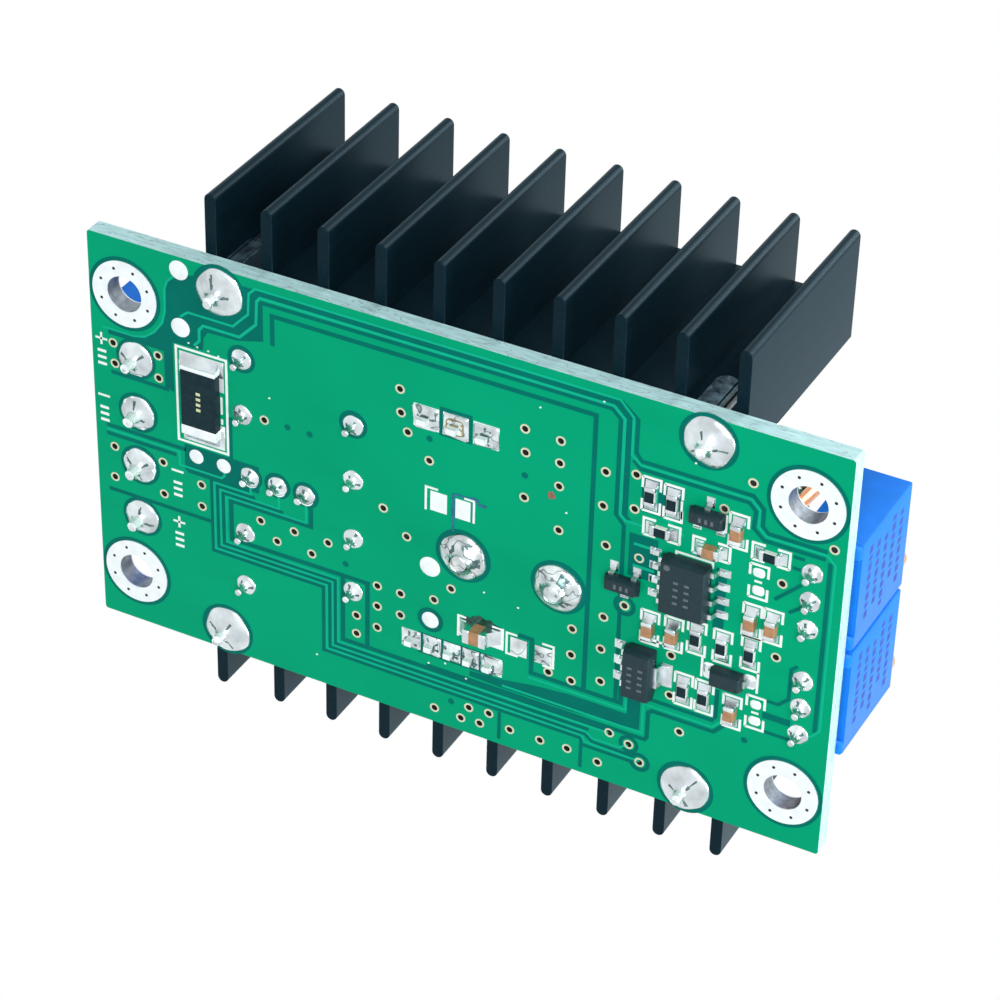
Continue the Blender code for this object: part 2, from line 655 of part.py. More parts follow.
def make_power_device(name, side):
    """A power device on its heatsink: package with soldered leads, metal tab, insulator."""
    kind = "device" if side < 0 else "five_lead"
    bm = bmesh.new()
    add_prism(bm, package_outline(side), PACKAGE_BOTTOM, PACKAGE_BOTTOM + PACKAGE_HEIGHT)
    package = make_object(name + "_package", bm, black_epoxy(), (DEVICE_X, 0, 0))
    leads = bmesh.new()
    joints = bmesh.new()
    for x, y in device_lead_places(side):
        add_prism(leads, lead_outline(x, side), y - LEAD_DEPTH / 2, y + LEAD_DEPTH / 2, "y")
        add_joint(joints, (x, y), kind, 4, squared=True)
    fuse(package, name + "_leads", leads)
    fuse(package, name + "_joints", joints)

    bm = bmesh.new()
    near, far = sorted((side * TAB_FRONT, side * TAB_BACK))
    add_prism(bm, tab_outline(), near, far, "y")
    tab = make_object(name + "_tab", bm, tin(), (DEVICE_X, 0, 0))
    combine(tab, screw_hole(name + "_tab_hole", side, TAB_HOLE_DIAMETER, TAB_FRONT - OVERLAP,
                            TAB_BACK + OVERLAP), "DIFFERENCE")

    bm = bmesh.new()
    half = PACKAGE_WIDTH / 2 + INSULATOR_MARGIN
    near, far = sorted((side * (TAB_BACK + SEAT), side * (SINK_BACK - SEAT)))
    add_box(bm, (-half, near, PACKAGE_BOTTOM - INSULATOR_MARGIN / 2),
            (half, far, TAB_TOP + INSULATOR_MARGIN / 2))
    pad = make_object(name + "_insulator", bm, finish("silicone_pad", (0.45, 0.47, 0.5), 0.8),
                      (DEVICE_X, 0, 0))
    combine(pad, screw_hole(name + "_pad_hole", side, TAP_DIAMETER + RUNNING,
                            TAB_BACK - OVERLAP, SINK_BACK + OVERLAP), "DIFFERENCE")
    make_device_screw(name, side)


def make_device_screw(name, side):
    """The screw and washer that clamp a device to its heatsink, drawn head upwards."""
    radius = SCREW_HEAD_DIAMETER / 2
    seat = WASHER_THICKNESS + SEAT
    reach = SINK_BACK + SCREW_BITE - TAB_FRONT + SEAT
    turn = (math.radians(90 * side), 0, 0)
    place = (DEVICE_X, side * (TAB_FRONT - SEAT), SCREW_Z)
    bm = bmesh.new()
    add_solid_turned(bm, [(radius * 0.62, seat + SCREW_HEAD_HEIGHT),
                          (radius * 0.93, seat + SCREW_HEAD_HEIGHT * 0.75),
                          (radius, seat + SCREW_HEAD_HEIGHT * 0.4), (radius, seat),
                          (SCREW_DIAMETER / 2, seat), (SCREW_DIAMETER / 2, -reach)], 14)
    screw = make_object(name + "_screw", bm, steel(), place)
    screw.rotation_euler = turn
    bm = bmesh.new()
    bore = SCREW_DIAMETER / 2 + HOLE_CLEARANCE
    add_turned(bm, [(bore, 0.0), (WASHER_DIAMETER / 2, 0.0),
                    (WASHER_DIAMETER / 2, WASHER_THICKNESS), (bore, WASHER_THICKNESS)], 14)
    washer = make_object(name + "_washer", bm, steel(), place)
    washer.rotation_euler = turn


def wire_centre_gap():
    """From the core's surface to the middle of the wire."""
    return WIRE_DIAMETER / 2 + SEAT


def core_bottom():
    return TOP + WIRE_STANDOFF + WIRE_DIAMETER + SEAT


def make_inductor_core():
    """The ring core, lying flat on its winding."""
    inner = CORE_INNER_DIAMETER / 2
    outer = CORE_OUTER_DIAMETER / 2
    profile = [(inner, CORE_EDGE), (inner, CORE_HEIGHT - CORE_EDGE),
               (inner + CORE_EDGE, CORE_HEIGHT), (outer - CORE_EDGE, CORE_HEIGHT),
               (outer, CORE_HEIGHT - CORE_EDGE), (outer, CORE_EDGE),
               (outer - CORE_EDGE, 0.0), (inner + CORE_EDGE, 0.0)]
    bm = bmesh.new()
    add_turned(bm, profile, 32)
    make_object("inductor_core", bm, finish("powder_core", (0.03, 0.12, 0.09), 0.5),
                (CORE_X, 0, core_bottom()))


def turn_section():
    """One turn of wire round the core's section, as radius and height, from outside bottom."""
    gap = wire_centre_gap()
    inner = CORE_INNER_DIAMETER / 2 - gap
    outer = CORE_OUTER_DIAMETER / 2 + gap
    low = core_bottom() - gap
    high = low + CORE_HEIGHT + 2 * gap
    bend = WIRE_CORNER
    corners = [((outer - bend, low + bend), -90), ((outer - bend, high - bend), 0),
               ((inner + bend, high - bend), 90), ((inner + bend, low + bend), 180)]
    points = []
    for centre, start in corners:
        points += arc(centre, bend, start, start + 90, 1)
    return points


def winding_route():
    """The wire from its outer lead, through every turn, to its inner lead."""
    section = turn_section()
    start = math.atan2(WIRE_OUTER_LEAD[1], WIRE_OUTER_LEAD[0] - CORE_X)
    steps = WIRE_TURNS * len(section)
    rise = section[0][1]
    foot = UNDERSIDE - 3 * SEAT
    route = [(*WIRE_OUTER_LEAD, foot), (*WIRE_OUTER_LEAD, rise + WIRE_CORNER)]
    for step in range(2, steps):
        radius, height = section[step % len(section)]
        angle = start + WIRE_SWEEP * step / steps
        route.append((CORE_X + radius * math.cos(angle), radius * math.sin(angle), height))
    return route + [(*WIRE_INNER_LEAD, rise), (*WIRE_INNER_LEAD, foot)]


def make_winding():
    """One copper wire wound round the core, with its two soldered ends."""
    bm = bmesh.new()
    add_tube(bm, winding_route(), WIRE_DIAMETER / 2, 6)
    winding = make_object("inductor_winding", bm, copper())
    joints = bmesh.new()
    for centre in (WIRE_OUTER_LEAD, WIRE_INNER_LEAD):
        add_joint(joints, centre, "inductor", 10)
    fuse(winding, "winding_joints", joints)


def make_capacitor(name, place):
    """An aluminium can with its rolled groove and soldered leads, inside a sleeve."""
    can = CAPACITOR_DIAMETER / 2 - SLEEVE_WALL - SEAT
    top = TOP + CAPACITOR_HEIGHT - SLEEVE_WALL - SEAT
    foot = TOP + SEAT
    groove = TOP + CAPACITOR_GROOVE
    bm = bmesh.new()
    add_solid_turned(bm, [(can * 0.8, top), (can * 0.94, top - can * 0.02),
                          (can, top - can * 0.12), (can, groove + can * 0.1),
                          (can * 0.91, groove), (can, groove - can * 0.1),
                          (can * 0.9, foot)], 16, place)
    made = make_object(name + "_can", bm, finish("can_aluminium", (0.78, 0.79, 0.8), 0.35, 1.0))
    leads = bmesh.new()
    for centre in capacitor_lead_places(place):
        add_soldered_pin(leads, centre, foot + OVERLAP, CAPACITOR_LEAD_DIAMETER / 2, 6, "small")
    fuse(made, name + "_leads", leads)

    outer = CAPACITOR_DIAMETER / 2
    inner = outer - SLEEVE_WALL
    lip = inner - SLEEVE_LIP
    crown = SLEEVE_LIP * 0.45
    bm = bmesh.new()
    add_turned(bm, [(outer, SLEEVE_FOOT), (outer, CAPACITOR_HEIGHT - crown),
                    (outer - crown, CAPACITOR_HEIGHT), (lip, CAPACITOR_HEIGHT),
                    (lip, CAPACITOR_HEIGHT - SLEEVE_WALL),
                    (inner - crown, CAPACITOR_HEIGHT - SLEEVE_WALL),
                    (inner, CAPACITOR_HEIGHT - SLEEVE_WALL - crown), (inner, SLEEVE_FOOT)], 16)
    make_object(name + "_sleeve", bm, finish("sleeve", (0.02, 0.03, 0.06), 0.35), (*place, TOP))


def add_mouth(bm, y, front, sill):
    """A wire mouth's cutter, flared at the block's face."""
    flared = MOUTH_FLARE * (1 + OVERLAP / MOUTH_FLARE_DEPTH)
    stations = ((front - OVERLAP, flared), (front + MOUTH_FLARE_DEPTH, 0.0),
                (OVERLAP - CHAMBER_DEPTH / 2, 0.0))
    rings = []
    for x, grow in stations:
        half = MOUTH_WIDTH / 2 + grow
        low, high = sill - grow, sill + MOUTH_HEIGHT + grow
        rings.append([bm.verts.new(corner) for corner in
                      ((x, y - half, low), (x, y + half, low),
                       (x, y + half, high), (x, y - half, high))])
    bridge(bm, rings)


def make_terminal_housing():
    """The moulded block: a chamber, a wire mouth and a screw well for each pole."""
    place = (TERMINAL_X, 0, TOP)
    front = -(TERMINAL_INSET + TERMINAL_OVERHANG)
    back = front + TERMINAL_DEPTH
    half = POLE_COUNT * POLE_PITCH / 2
    slope = TERMINAL_HEIGHT - TERMINAL_SLOPE_HEIGHT
    chamber_top = CLAMP_TOP + RUNNING
    section = [(front, SEAT), (back, SEAT), (back, TERMINAL_HEIGHT - TERMINAL_EDGE),
               (back - TERMINAL_EDGE, TERMINAL_HEIGHT),
               (front + TERMINAL_SLOPE_DEPTH, TERMINAL_HEIGHT), (front, slope)]
    bm = bmesh.new()
    add_prism(bm, section, -half, half, "y")
    housing = make_object("terminal_housing", bm, blue_plastic(), place)

    rails = bmesh.new()
    for x in (front + RAIL_INSET, back - RAIL_INSET):
        rail = [(x - RAIL_WIDTH / 2, half - OVERLAP), (x + RAIL_WIDTH / 2, half - OVERLAP),
                (x + RAIL_WIDTH * 0.8, half + RAIL_DEPTH), (x - RAIL_WIDTH * 0.8, half + RAIL_DEPTH)]
        add_prism(rails, rail, RAIL_DEPTH, TERMINAL_HEIGHT - 3 * RAIL_DEPTH)
    combine(housing, make_cutter("cutter_terminal_rails", rails, place), "UNION")

    chambers = bmesh.new()
    wells = bmesh.new()
    mouths = bmesh.new()
    for y in pole_offsets():
        add_box(chambers, (-CHAMBER_DEPTH / 2, y - CHAMBER_WIDTH / 2, -OVERLAP),
                (CHAMBER_DEPTH / 2, y + CHAMBER_WIDTH / 2, chamber_top))
        add_rod(wells, TERMINAL_HEAD_DIAMETER / 2 + RUNNING, chamber_top - OVERLAP,
                TERMINAL_HEIGHT + OVERLAP, 16, (0.0, y))
        add_mouth(mouths, y, front, CLAMP_FOOT + CLAMP_FLOOR)
    grooves = bmesh.new()
    for y in spread(POLE_COUNT - 1, POLE_PITCH):
        add_box(grooves, (front - OVERLAP, y - GROOVE_WIDTH / 2, -OVERLAP),
                (front + GROOVE_WIDTH / 2, y + GROOVE_WIDTH / 2, slope - GROOVE_WIDTH))
    for name, bm in (("chambers", chambers), ("wells", wells), ("mouths", mouths),
                     ("grooves", grooves)):
        combine(housing, make_cutter("cutter_terminal_" + name, bm, place), "DIFFERENCE")


def make_clamp(label, place):
    """A pole's fixed clamp frame, open front and back, with its soldered pin."""
    floor = CLAMP_FOOT + CLAMP_FLOOR
    window = CLAMP_WIDTH / 2 - CLAMP_SIDE
    bm = bmesh.new()
    add_box(bm, (-CLAMP_DEPTH / 2, -CLAMP_WIDTH / 2, CLAMP_FOOT),
            (CLAMP_DEPTH / 2, CLAMP_WIDTH / 2, CLAMP_TOP))
    clamp = make_object("terminal_clamp_" + label, bm, tin(), place)
    bm = bmesh.new()
    add_box(bm, (-CLAMP_DEPTH, -window, floor), (CLAMP_DEPTH, window, floor + CLAMP_OPENING))
    combine(clamp, make_cutter("cutter_clamp_window_" + label, bm, place), "DIFFERENCE")
    bm = bmesh.new()
    add_rod(bm, TERMINAL_SCREW_DIAMETER / 2 + HOLE_CLEARANCE, floor + CLAMP_OPENING / 2,
            CLAMP_TOP + OVERLAP, 12)
    combine(clamp, make_cutter("cutter_clamp_thread_" + label, bm, place), "DIFFERENCE")
    pin = bmesh.new()
    x, y, z = place
    add_box(pin, (x - CLAMP_PIN_DEPTH / 2, y - CLAMP_PIN_WIDTH / 2, UNDERSIDE - 3 * SEAT),
            (x + CLAMP_PIN_DEPTH / 2, y + CLAMP_PIN_WIDTH / 2, z + floor - CLAMP_FLOOR / 2))
    fuse(clamp, "clamp_pin_" + label, pin)
    joint = bmesh.new()
    add_joint(joint, (x, y), "terminal", 10)
    fuse(clamp, "clamp_joint_" + label, joint)


def make_leaf(label, place):
    """The loose leaf that the screw presses down on the wire."""
    half = CLAMP_WIDTH / 2 - CLAMP_SIDE - RUNNING
    deep = CLAMP_DEPTH / 2 - SEAT
    outline = [(-deep, LEAF_NOSE - half), (LEAF_NOSE - deep, -half), (deep, -half),
               (deep, half), (LEAF_NOSE - deep, half), (-deep, half - LEAF_NOSE)]
    bm = bmesh.new()
    add_prism(bm, outline, LEAF_TOP - LEAF_THICKNESS, LEAF_TOP)
    make_object("terminal_leaf_" + label, bm, tin(), place)


def make_slotted_screw(name, place, surface, profile, slot_turn):
    """A turned screw with a straight driver slot across its head, listed head first."""
    bm = bmesh.new()
    add_solid_turned(bm, profile, 16)
    screw = make_object(name, bm, surface, place)
    reach = 2 * max(radius for radius, _ in profile)
    crown = profile[0][1]
    bm = bmesh.new()
    add_box(bm, (-reach, -SLOT_WIDTH / 2, crown - SLOT_DEPTH),
            (reach, SLOT_WIDTH / 2, crown + OVERLAP))
    slot = make_cutter("cutter_slot_" + name, bm, place)
    slot.rotation_euler = (0, 0, slot_turn)
    combine(screw, slot, "DIFFERENCE")


def make_terminal_pole(index, y):
    """One pole of the terminal block: clamp frame, leaf and screw."""
    label = str(index + 1)
    place = (TERMINAL_X, y, TOP)
    make_clamp(label, place)
    make_leaf(label, place)
    head = TERMINAL_HEAD_DIAMETER / 2
    shank = TERMINAL_SCREW_DIAMETER / 2
    crown = HEAD_UNDERSIDE + TERMINAL_HEAD_HEIGHT
    edge = head * 0.14
    profile = [(head - edge, crown), (head, crown - edge), (head, HEAD_UNDERSIDE),
               (shank, HEAD_UNDERSIDE), (shank, SCREW_TIP + edge), (shank - edge, SCREW_TIP)]
    make_slotted_screw("terminal_screw_" + label, place, steel(), profile,
                       math.radians(20 + 55 * index))


def make_trimmer(name, y, slot_turn):
    """A many-turn trimmer: sealed case on soldered pins, and its brass adjusting screw."""
    half_x = TRIMMER_THICKNESS / 2
    half_y = TRIMMER_WIDTH / 2
    place = (TRIMMER_X, y, TOP)
    bm = bmesh.new()
    add_box(bm, (-half_x, -half_y, SEAT), (half_x, half_y, TRIMMER_HEIGHT))
    case = make_object(name + "_trimmer_case", bm, blue_plastic(), place)
    round_edges(case, TRIMMER_EDGE)
    bm = bmesh.new()
    add_box(bm, (-half_x - OVERLAP, TRIMMER_FOOT_WIDTH - half_y, -OVERLAP),
            (half_x + OVERLAP, half_y - TRIMMER_FOOT_WIDTH, SEAT + TRIMMER_FOOT))
    combine(case, make_cutter("cutter_foot_" + name, bm, place), "DIFFERENCE")
    pins = bmesh.new()
    for centre in trimmer_pin_places(y):
        add_soldered_pin(pins, centre, TOP + TRIMMER_FOOT + 2 * OVERLAP,
                         TRIMMER_PIN_DIAMETER / 2, 6, "small")
    fuse(case, name + "_pins", pins)

    axis = (half_x - TRIMMER_SCREW_INSET_X, half_y - TRIMMER_SCREW_INSET_Y)
    radius = TRIMMER_SCREW_DIAMETER / 2
    floor = TRIMMER_HEIGHT - TRIMMER_SCREW_SEAT
    bm = bmesh.new()
    add_rod(bm, radius + HOLE_CLEARANCE, floor, TRIMMER_HEIGHT + OVERLAP, 16, axis)
    combine(case, make_cutter("cutter_recess_" + name, bm, place), "DIFFERENCE")
    top = TRIMMER_HEIGHT + TRIMMER_SCREW_RISE
    edge = radius * 0.14
    make_slotted_screw(name + "_trimmer_screw", (TRIMMER_X + axis[0], y + axis[1], TOP), brass(),
                       [(radius - edge, top), (radius, top - edge), (radius, floor + SEAT)],
                       slot_turn)


def make_small_regulator():
    """A round-backed three-lead package on spread, soldered leads."""
    radius = SMALL_PACKAGE_DIAMETER / 2
    flat = math.degrees(math.acos(SMALL_PACKAGE_FLAT / radius))
    bottom = TOP + SMALL_PACKAGE_STANDOFF
    bm = bmesh.new()
    outline = [(SMALL_PACKAGE_X + x, SMALL_PACKAGE_Y + y)
               for x, y in arc((0.0, 0.0), radius, flat - 90, 270 - flat, 12)]
    add_prism(bm, outline, bottom, bottom + SMALL_PACKAGE_HEIGHT)
    package = make_object("bias_regulator", bm, black_epoxy())
    leads = bmesh.new()
    joints = bmesh.new()
    bend = TOP + SMALL_PACKAGE_STANDOFF * 0.35
    straight = TOP + SMALL_PACKAGE_STANDOFF * 0.8
    for near, far in zip(spread(3, SMALL_LEAD_PITCH), spread(3, SMALL_LEAD_SPREAD)):
        route = [(far, UNDERSIDE - 3 * SEAT), (far, bend), (near, straight),
                 (near, bottom + OVERLAP)]
        add_tube(leads, [(SMALL_PACKAGE_X + x, SMALL_PACKAGE_Y, z) for x, z in route],
                 SMALL_LEAD_DIAMETER / 2, 6)
    for centre in small_lead_places():
        add_joint(joints, centre, "small")
    fuse(package, "small_leads", leads)
    fuse(package, "small_joints", joints)


def chip_frame(x, y, upright):
    """Places a chip in millimetres, its length along X or, if upright, along Y."""
    turn = Matrix.Rotation(math.pi / 2, 4, "Z") if upright else Matrix.Identity(4)
    return Matrix.Translation((x * along, y * across, 0)) @ turn


def add_fixed_chip(bm, frame, height):
    """A small chip part under the board, sunk into it to be joined to it."""
    length, width = CHIP_SIZE
    box = add_box(bm, (-length / 2, -width / 2, UNDERSIDE - height),
                  (length / 2, width / 2, UNDERSIDE + OVERLAP))
    bmesh.ops.transform(bm, matrix=frame, verts=box)


def add_chip(bm, frame, size, end, on_top):
    """A two-ended chip part: a body a little smaller than its metal ends."""
    length, width, height = size
    outward = 1 if on_top else -1
    face = TOP if on_top else UNDERSIDE
    near = face + outward * SEAT
    far = near + outward * height
    middle = length / 2 - end
    rings = []
    for x, inset in ((-length / 2, 0.0), (-middle, 0.0), (-middle, CHIP_STEP),
                     (middle, CHIP_STEP), (middle, 0.0), (length / 2, 0.0)):
        half = width / 2 - inset
        low = near + outward * inset
        high = far - outward * inset
        rings.append([bm.verts.new(frame @ Vector(corner)) for corner in
                      ((x, -half, low), (x, half, low), (x, half, high), (x, -half, high))])
    bridge(bm, rings)


def make_chips():
    """The larger chip parts below the board, and indicator lamps on top."""
    dark = finish("resistor_glaze", (0.02, 0.02, 0.025), 0.35)
    parts = [("sense_resistor", SHUNT_PLACE, SHUNT_SIZE, SHUNT_END, dark, False),
             ("boost_capacitor", BULK_CERAMIC_PLACE, BULK_CERAMIC_SIZE, CHIP_END * 1.4,
              finish("ceramic_tan", (0.5, 0.32, 0.2), 0.5), False)]
    for label, place in LED_PLACES.items():
        parts.append((label + "_lamp", place, LED_SIZE, LED_END,
                      finish("lamp_lens", (0.9, 0.9, 0.8), 0.3), True))
    for name, place, size, end, surface, on_top in parts:
        bm = bmesh.new()
        add_chip(bm, chip_frame(*place), size, end, on_top)
        make_object(name, bm, surface)


def add_gull_leads(bm, frame, part):
    """Bent leads in a row along each side of a chip."""
    half = part["size"][0] * plan / 2
    width, thick = (value * plan for value in part["lead"])
    foot = UNDERSIDE - SEAT
    middle = foot - part["size"][2] * mm / 2
    knee = half + part["reach"] * plan * 0.35
    tip = half + part["reach"] * plan
    shape = [(half - OVERLAP / 2, middle - thick / 2), (half - OVERLAP / 2, middle + thick / 2),
             (knee - thick / 2, middle + thick / 2), (knee, foot), (tip, foot),
             (tip, foot - thick), (knee + thick, foot - thick),
             (knee + thick / 2, middle - thick / 2)]
    for side, count in zip((-1, 1), part["rows"]):
        for offset in spread(count, part["pitch"] * plan):
            before = set(bm.verts)
            add_prism(bm, [(side * x, z) for x, z in shape], offset - width / 2,
                      offset + width / 2, "y")
            fresh = [vert for vert in bm.verts if vert not in before]
            bmesh.ops.transform(bm, matrix=frame, verts=fresh)


def make_small_chips():
    """The moulded chips below the board, each with its leads."""
    for name, part in SMALL_CHIPS.items():
        x, y = part["place"]
        frame = (Matrix.Translation((x * along, y * across, 0))
                 @ Matrix.Rotation(math.radians(part["turn"]), 4, "Z"))
        width, length = (value * plan for value in part["size"][:2])
        height = part["size"][2] * mm
        near = UNDERSIDE - SEAT - CHIP_LIFT
        far = UNDERSIDE - SEAT - height
        bm = bmesh.new()
        rings = []
        for z, inset in ((near, CHIP_DRAFT), ((near + far) / 2, 0.0), (far, CHIP_DRAFT)):
            half_x, half_y = width / 2 - inset, length / 2 - inset
            rings.append([bm.verts.new(frame @ Vector((sx * half_x, sy * half_y, z)))
                          for sx, sy in ((-1, -1), (1, -1), (1, 1), (-1, 1))])
        bridge(bm, rings)
        chip = make_object(name, bm, black_epoxy())
        leads = bmesh.new()
        add_gull_leads(leads, frame, part)
        fuse(chip, name + "_leads", leads)


def main():
    clear_scene()
    make_board()
    make_heatsink("heatsink_front", -1)
    make_heatsink("heatsink_rear", 1)
    make_sink_pins()
    make_power_device("rectifier", -1)
    make_power_device("regulator", 1)
    make_inductor_core()
    make_winding()
    for name, place in CAPACITOR_PLACES.items():
        make_capacitor(name, place)
    make_terminal_housing()
    for index, y in enumerate(pole_offsets()):
        make_terminal_pole(index, y)
    make_trimmer("voltage", TRIMMER_PLACES["voltage"], math.radians(35))
    make_trimmer("current", TRIMMER_PLACES["current"], math.radians(110))
    make_small_regulator()
    make_chips()
    make_small_chips()


main()
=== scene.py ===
"""Looks of the step-down dc-dc converter module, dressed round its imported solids.

Shapes are drawn in millimetres in the row's own frame: X from the terminal block to the
trimmers, Y towards the rear heatsink, Z up from the tips of the soldered pins.
"""

import math

import bmesh
import bpy
from mathutils import Matrix, Vector, noise


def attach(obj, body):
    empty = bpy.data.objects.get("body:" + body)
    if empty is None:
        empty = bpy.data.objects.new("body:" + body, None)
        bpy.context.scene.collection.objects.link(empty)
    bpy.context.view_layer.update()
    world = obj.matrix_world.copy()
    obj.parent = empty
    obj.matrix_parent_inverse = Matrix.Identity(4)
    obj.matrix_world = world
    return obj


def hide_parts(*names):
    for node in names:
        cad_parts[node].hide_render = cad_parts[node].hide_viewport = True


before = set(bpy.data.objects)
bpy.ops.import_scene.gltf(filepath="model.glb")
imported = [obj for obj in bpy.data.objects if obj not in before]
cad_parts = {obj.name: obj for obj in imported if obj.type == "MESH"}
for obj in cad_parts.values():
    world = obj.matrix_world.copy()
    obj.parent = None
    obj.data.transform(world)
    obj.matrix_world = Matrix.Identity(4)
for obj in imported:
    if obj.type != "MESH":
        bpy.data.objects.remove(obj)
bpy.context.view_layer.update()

mm = 0.001

# Heights, in millimetres
UNDER = 1.9          # solder face of the board
OVER = 3.5           # component face of the board
SINK_LOW = OVER + 0.1    # cut ends of the heatsinks

# Layers on the solder face in mask steps, and the step between two shapes of one layer
MASK_STEP = 0.012
GAP_LAYER, AREA_LAYER, RING_LAYER, GAP_RING_LAYER, TRACE_LAYER = 1, 1.1, 1.2, 1.3, 2.2
PAD_LAYER, SKIN_LAYER, STAIN_LAYER, PRINT_LAYER, LAYER_STEP = 2.6, 2.7, 3, 3.4, 0.02

BOARD_LENGTH, BOARD_WIDTH = 65, 36.6
MOUNT_HOLES = [(sx * 29.2, sy * 13.4) for sx in (-1, 1) for sy in (-1, 1)]
SINK_X, CHANNEL_REACH = 0.3, 20.8      # the heatsinks' middle, and their pin channels from it
SINK_PINS = [(SINK_X + sx * CHANNEL_REACH, sy * 16.2) for sx in (-1, 1) for sy in (-1, 1)]
POLES = [(-28.4, y) for y in (-7.62, -2.54, 2.54, 7.62)]


# Objects, nodes and materials

def add_object(name, data):
    """A new object in the scene."""
    made = bpy.data.objects.new(name, data)
    bpy.context.scene.collection.objects.link(made)
    return made


def fill(node, sockets):
    """Sets a node's sockets by name, where _ stands for a space."""
    for socket, value in sockets.items():
        node.inputs[socket.replace("_", " ")].default_value = value
    return node


def add_node(tree, kind, **sockets):
    """A new node with its sockets set."""
    return fill(tree.nodes.new(kind), sockets)


def wire(tree, start, out, end, into):
    """Links an output of one node to an input of another."""
    tree.links.new(start.outputs[out], end.inputs[into])


def add_ramp(tree, cloud, stops):
    """Turns a noise into colours at positions."""
    ramp = tree.nodes.new("ShaderNodeValToRGB")
    while len(ramp.color_ramp.elements) < len(stops):
        ramp.color_ramp.elements.new(0.5)
    for stop, (position, colour) in zip(ramp.color_ramp.elements, stops):
        stop.position = position
        stop.color = (*colour, 1)
    wire(tree, cloud, "Fac", ramp, "Fac")
    return ramp


def add_veins(tree, scaled, tint, grain, width, colour):
    """Draws lines of a colour where a second noise passes its middle."""
    cloud = add_node(tree, "ShaderNodeTexNoise", Scale=grain, Detail=2, Distortion=0.6)
    wire(tree, scaled, "Vector", cloud, "Vector")
    black, white = (0, 0, 0), (1, 1, 1)
    lines = add_ramp(tree, cloud, [(0.5 - width, black), (0.5, white), (0.5 + width, black)])
    mix = add_node(tree, "ShaderNodeMixRGB", Color2=(*colour, 1))
    wire(tree, lines, "Color", mix, "Fac")
    wire(tree, tint, "Color", mix, "Color1")
    return mix


def surface(name, colour, roughness, metallic=0, grain=800, mottle=0.1, bump=0,
            shine=0.5, stretch=(1, 1, 1), veins=None, **sockets):
    """A Principled finish whose colour and height vary with noise of a given grain per metre.

    Veins are thin lines of another colour: their grain, width and colour.
    """
    made = bpy.data.materials.new(name)
    made.use_nodes = True
    made.diffuse_color = (*colour, 1)
    tree = made.node_tree
    shader = fill(tree.nodes["Principled BSDF"],
                  {"Roughness": roughness, "Metallic": metallic, "Specular IOR Level": shine,
                   **sockets})
    scaled = add_node(tree, "ShaderNodeMapping", Scale=stretch)
    wire(tree, add_node(tree, "ShaderNodeTexCoord"), "Object", scaled, "Vector")
    cloud = add_node(tree, "ShaderNodeTexNoise", Scale=grain, Detail=4)
    wire(tree, scaled, "Vector", cloud, "Vector")
    tint = add_ramp(tree, cloud, [(position, [min(1, level * value) for value in colour])
                                  for position, level in ((0.3, 1 - mottle), (0.7, 1 + mottle))])
    if veins:
        tint = add_veins(tree, scaled, tint, *veins)
    wire(tree, tint, "Color", shader, "Base Color")
    if bump:
        relief = add_node(tree, "ShaderNodeBump", Strength=1, Distance=bump * mm)
        wire(tree, cloud, "Fac", relief, "Height")
        wire(tree, relief, "Normal", shader, "Normal")
    return made


MASK = surface("solder_mask", (0, 0.345, 0.168), 0.3, grain=60, mottle=0.06, shine=0.04)
GAP = surface("bare_laminate_under_mask", (0, 0.155, 0.120), 0.3, grain=300, mottle=0.08,
              shine=0.04)
TRACE = surface("copper_under_mask", (0.004, 0.43, 0.25), 0.3, grain=300, mottle=0.05, shine=0.04)
LAMINATE = surface("laminate_edge", (0.50, 0.79, 0.80), 0.6, grain=1500, mottle=0.15, bump=0.02,
                   stretch=(0.4, 0.4, 2), veins=(900, 0.02, (0.3, 0.46, 0.47)))
INK = surface("white_print", (0.86, 0.93, 0.90), 0.5, grain=1500, mottle=0.05)
TINNED = surface("tinned_copper", (0.88, 0.95, 0.98), 0.35, metallic=0.4, grain=1200, mottle=0.06,
                 bump=0.01)
SOLDER = surface("solder", (0.66, 0.73, 0.76), 0.24, metallic=1, grain=500, mottle=0.28, bump=0.05)
# Solder with thin dark veins: painted shade and dark reflection where its creases would be
SOLDER_WITH_PAINTED_STREAKS = surface("solder_with_painted_crease_shade", (0.66, 0.73, 0.76), 0.24, metallic=1, grain=900,
                       mottle=0.35, bump=0.08, veins=(480, 0.022, (0.07, 0.13, 0.13)))
# Dark grey-green painted on solder faces: painted shade and dark reflection in its creases
CREASE_SHADE = surface("solder_crease_painted_shade", (0.10, 0.17, 0.17), 0.3, metallic=0.8, grain=2500, mottle=0.5)
FLUXED = surface("stained_solder", (0.30, 0.27, 0.14), 0.35, metallic=0.6, grain=2500, mottle=0.4)
# Dark green burnt flux, partly painted shade where the boost capacitor's shadow falls
FLUX_AND_SHADE = surface("burnt_flux_and_painted_shade", (0.003, 0.055, 0.035), 0.3, grain=2500, mottle=0.5)
SMEAR = surface("blue_smear", (0, 0.13, 0.21), 0.4, grain=1500, mottle=0.3)
SMUDGE = surface("red_smudge", (0.30, 0.12, 0.08), 0.6, grain=2500, mottle=0.4)
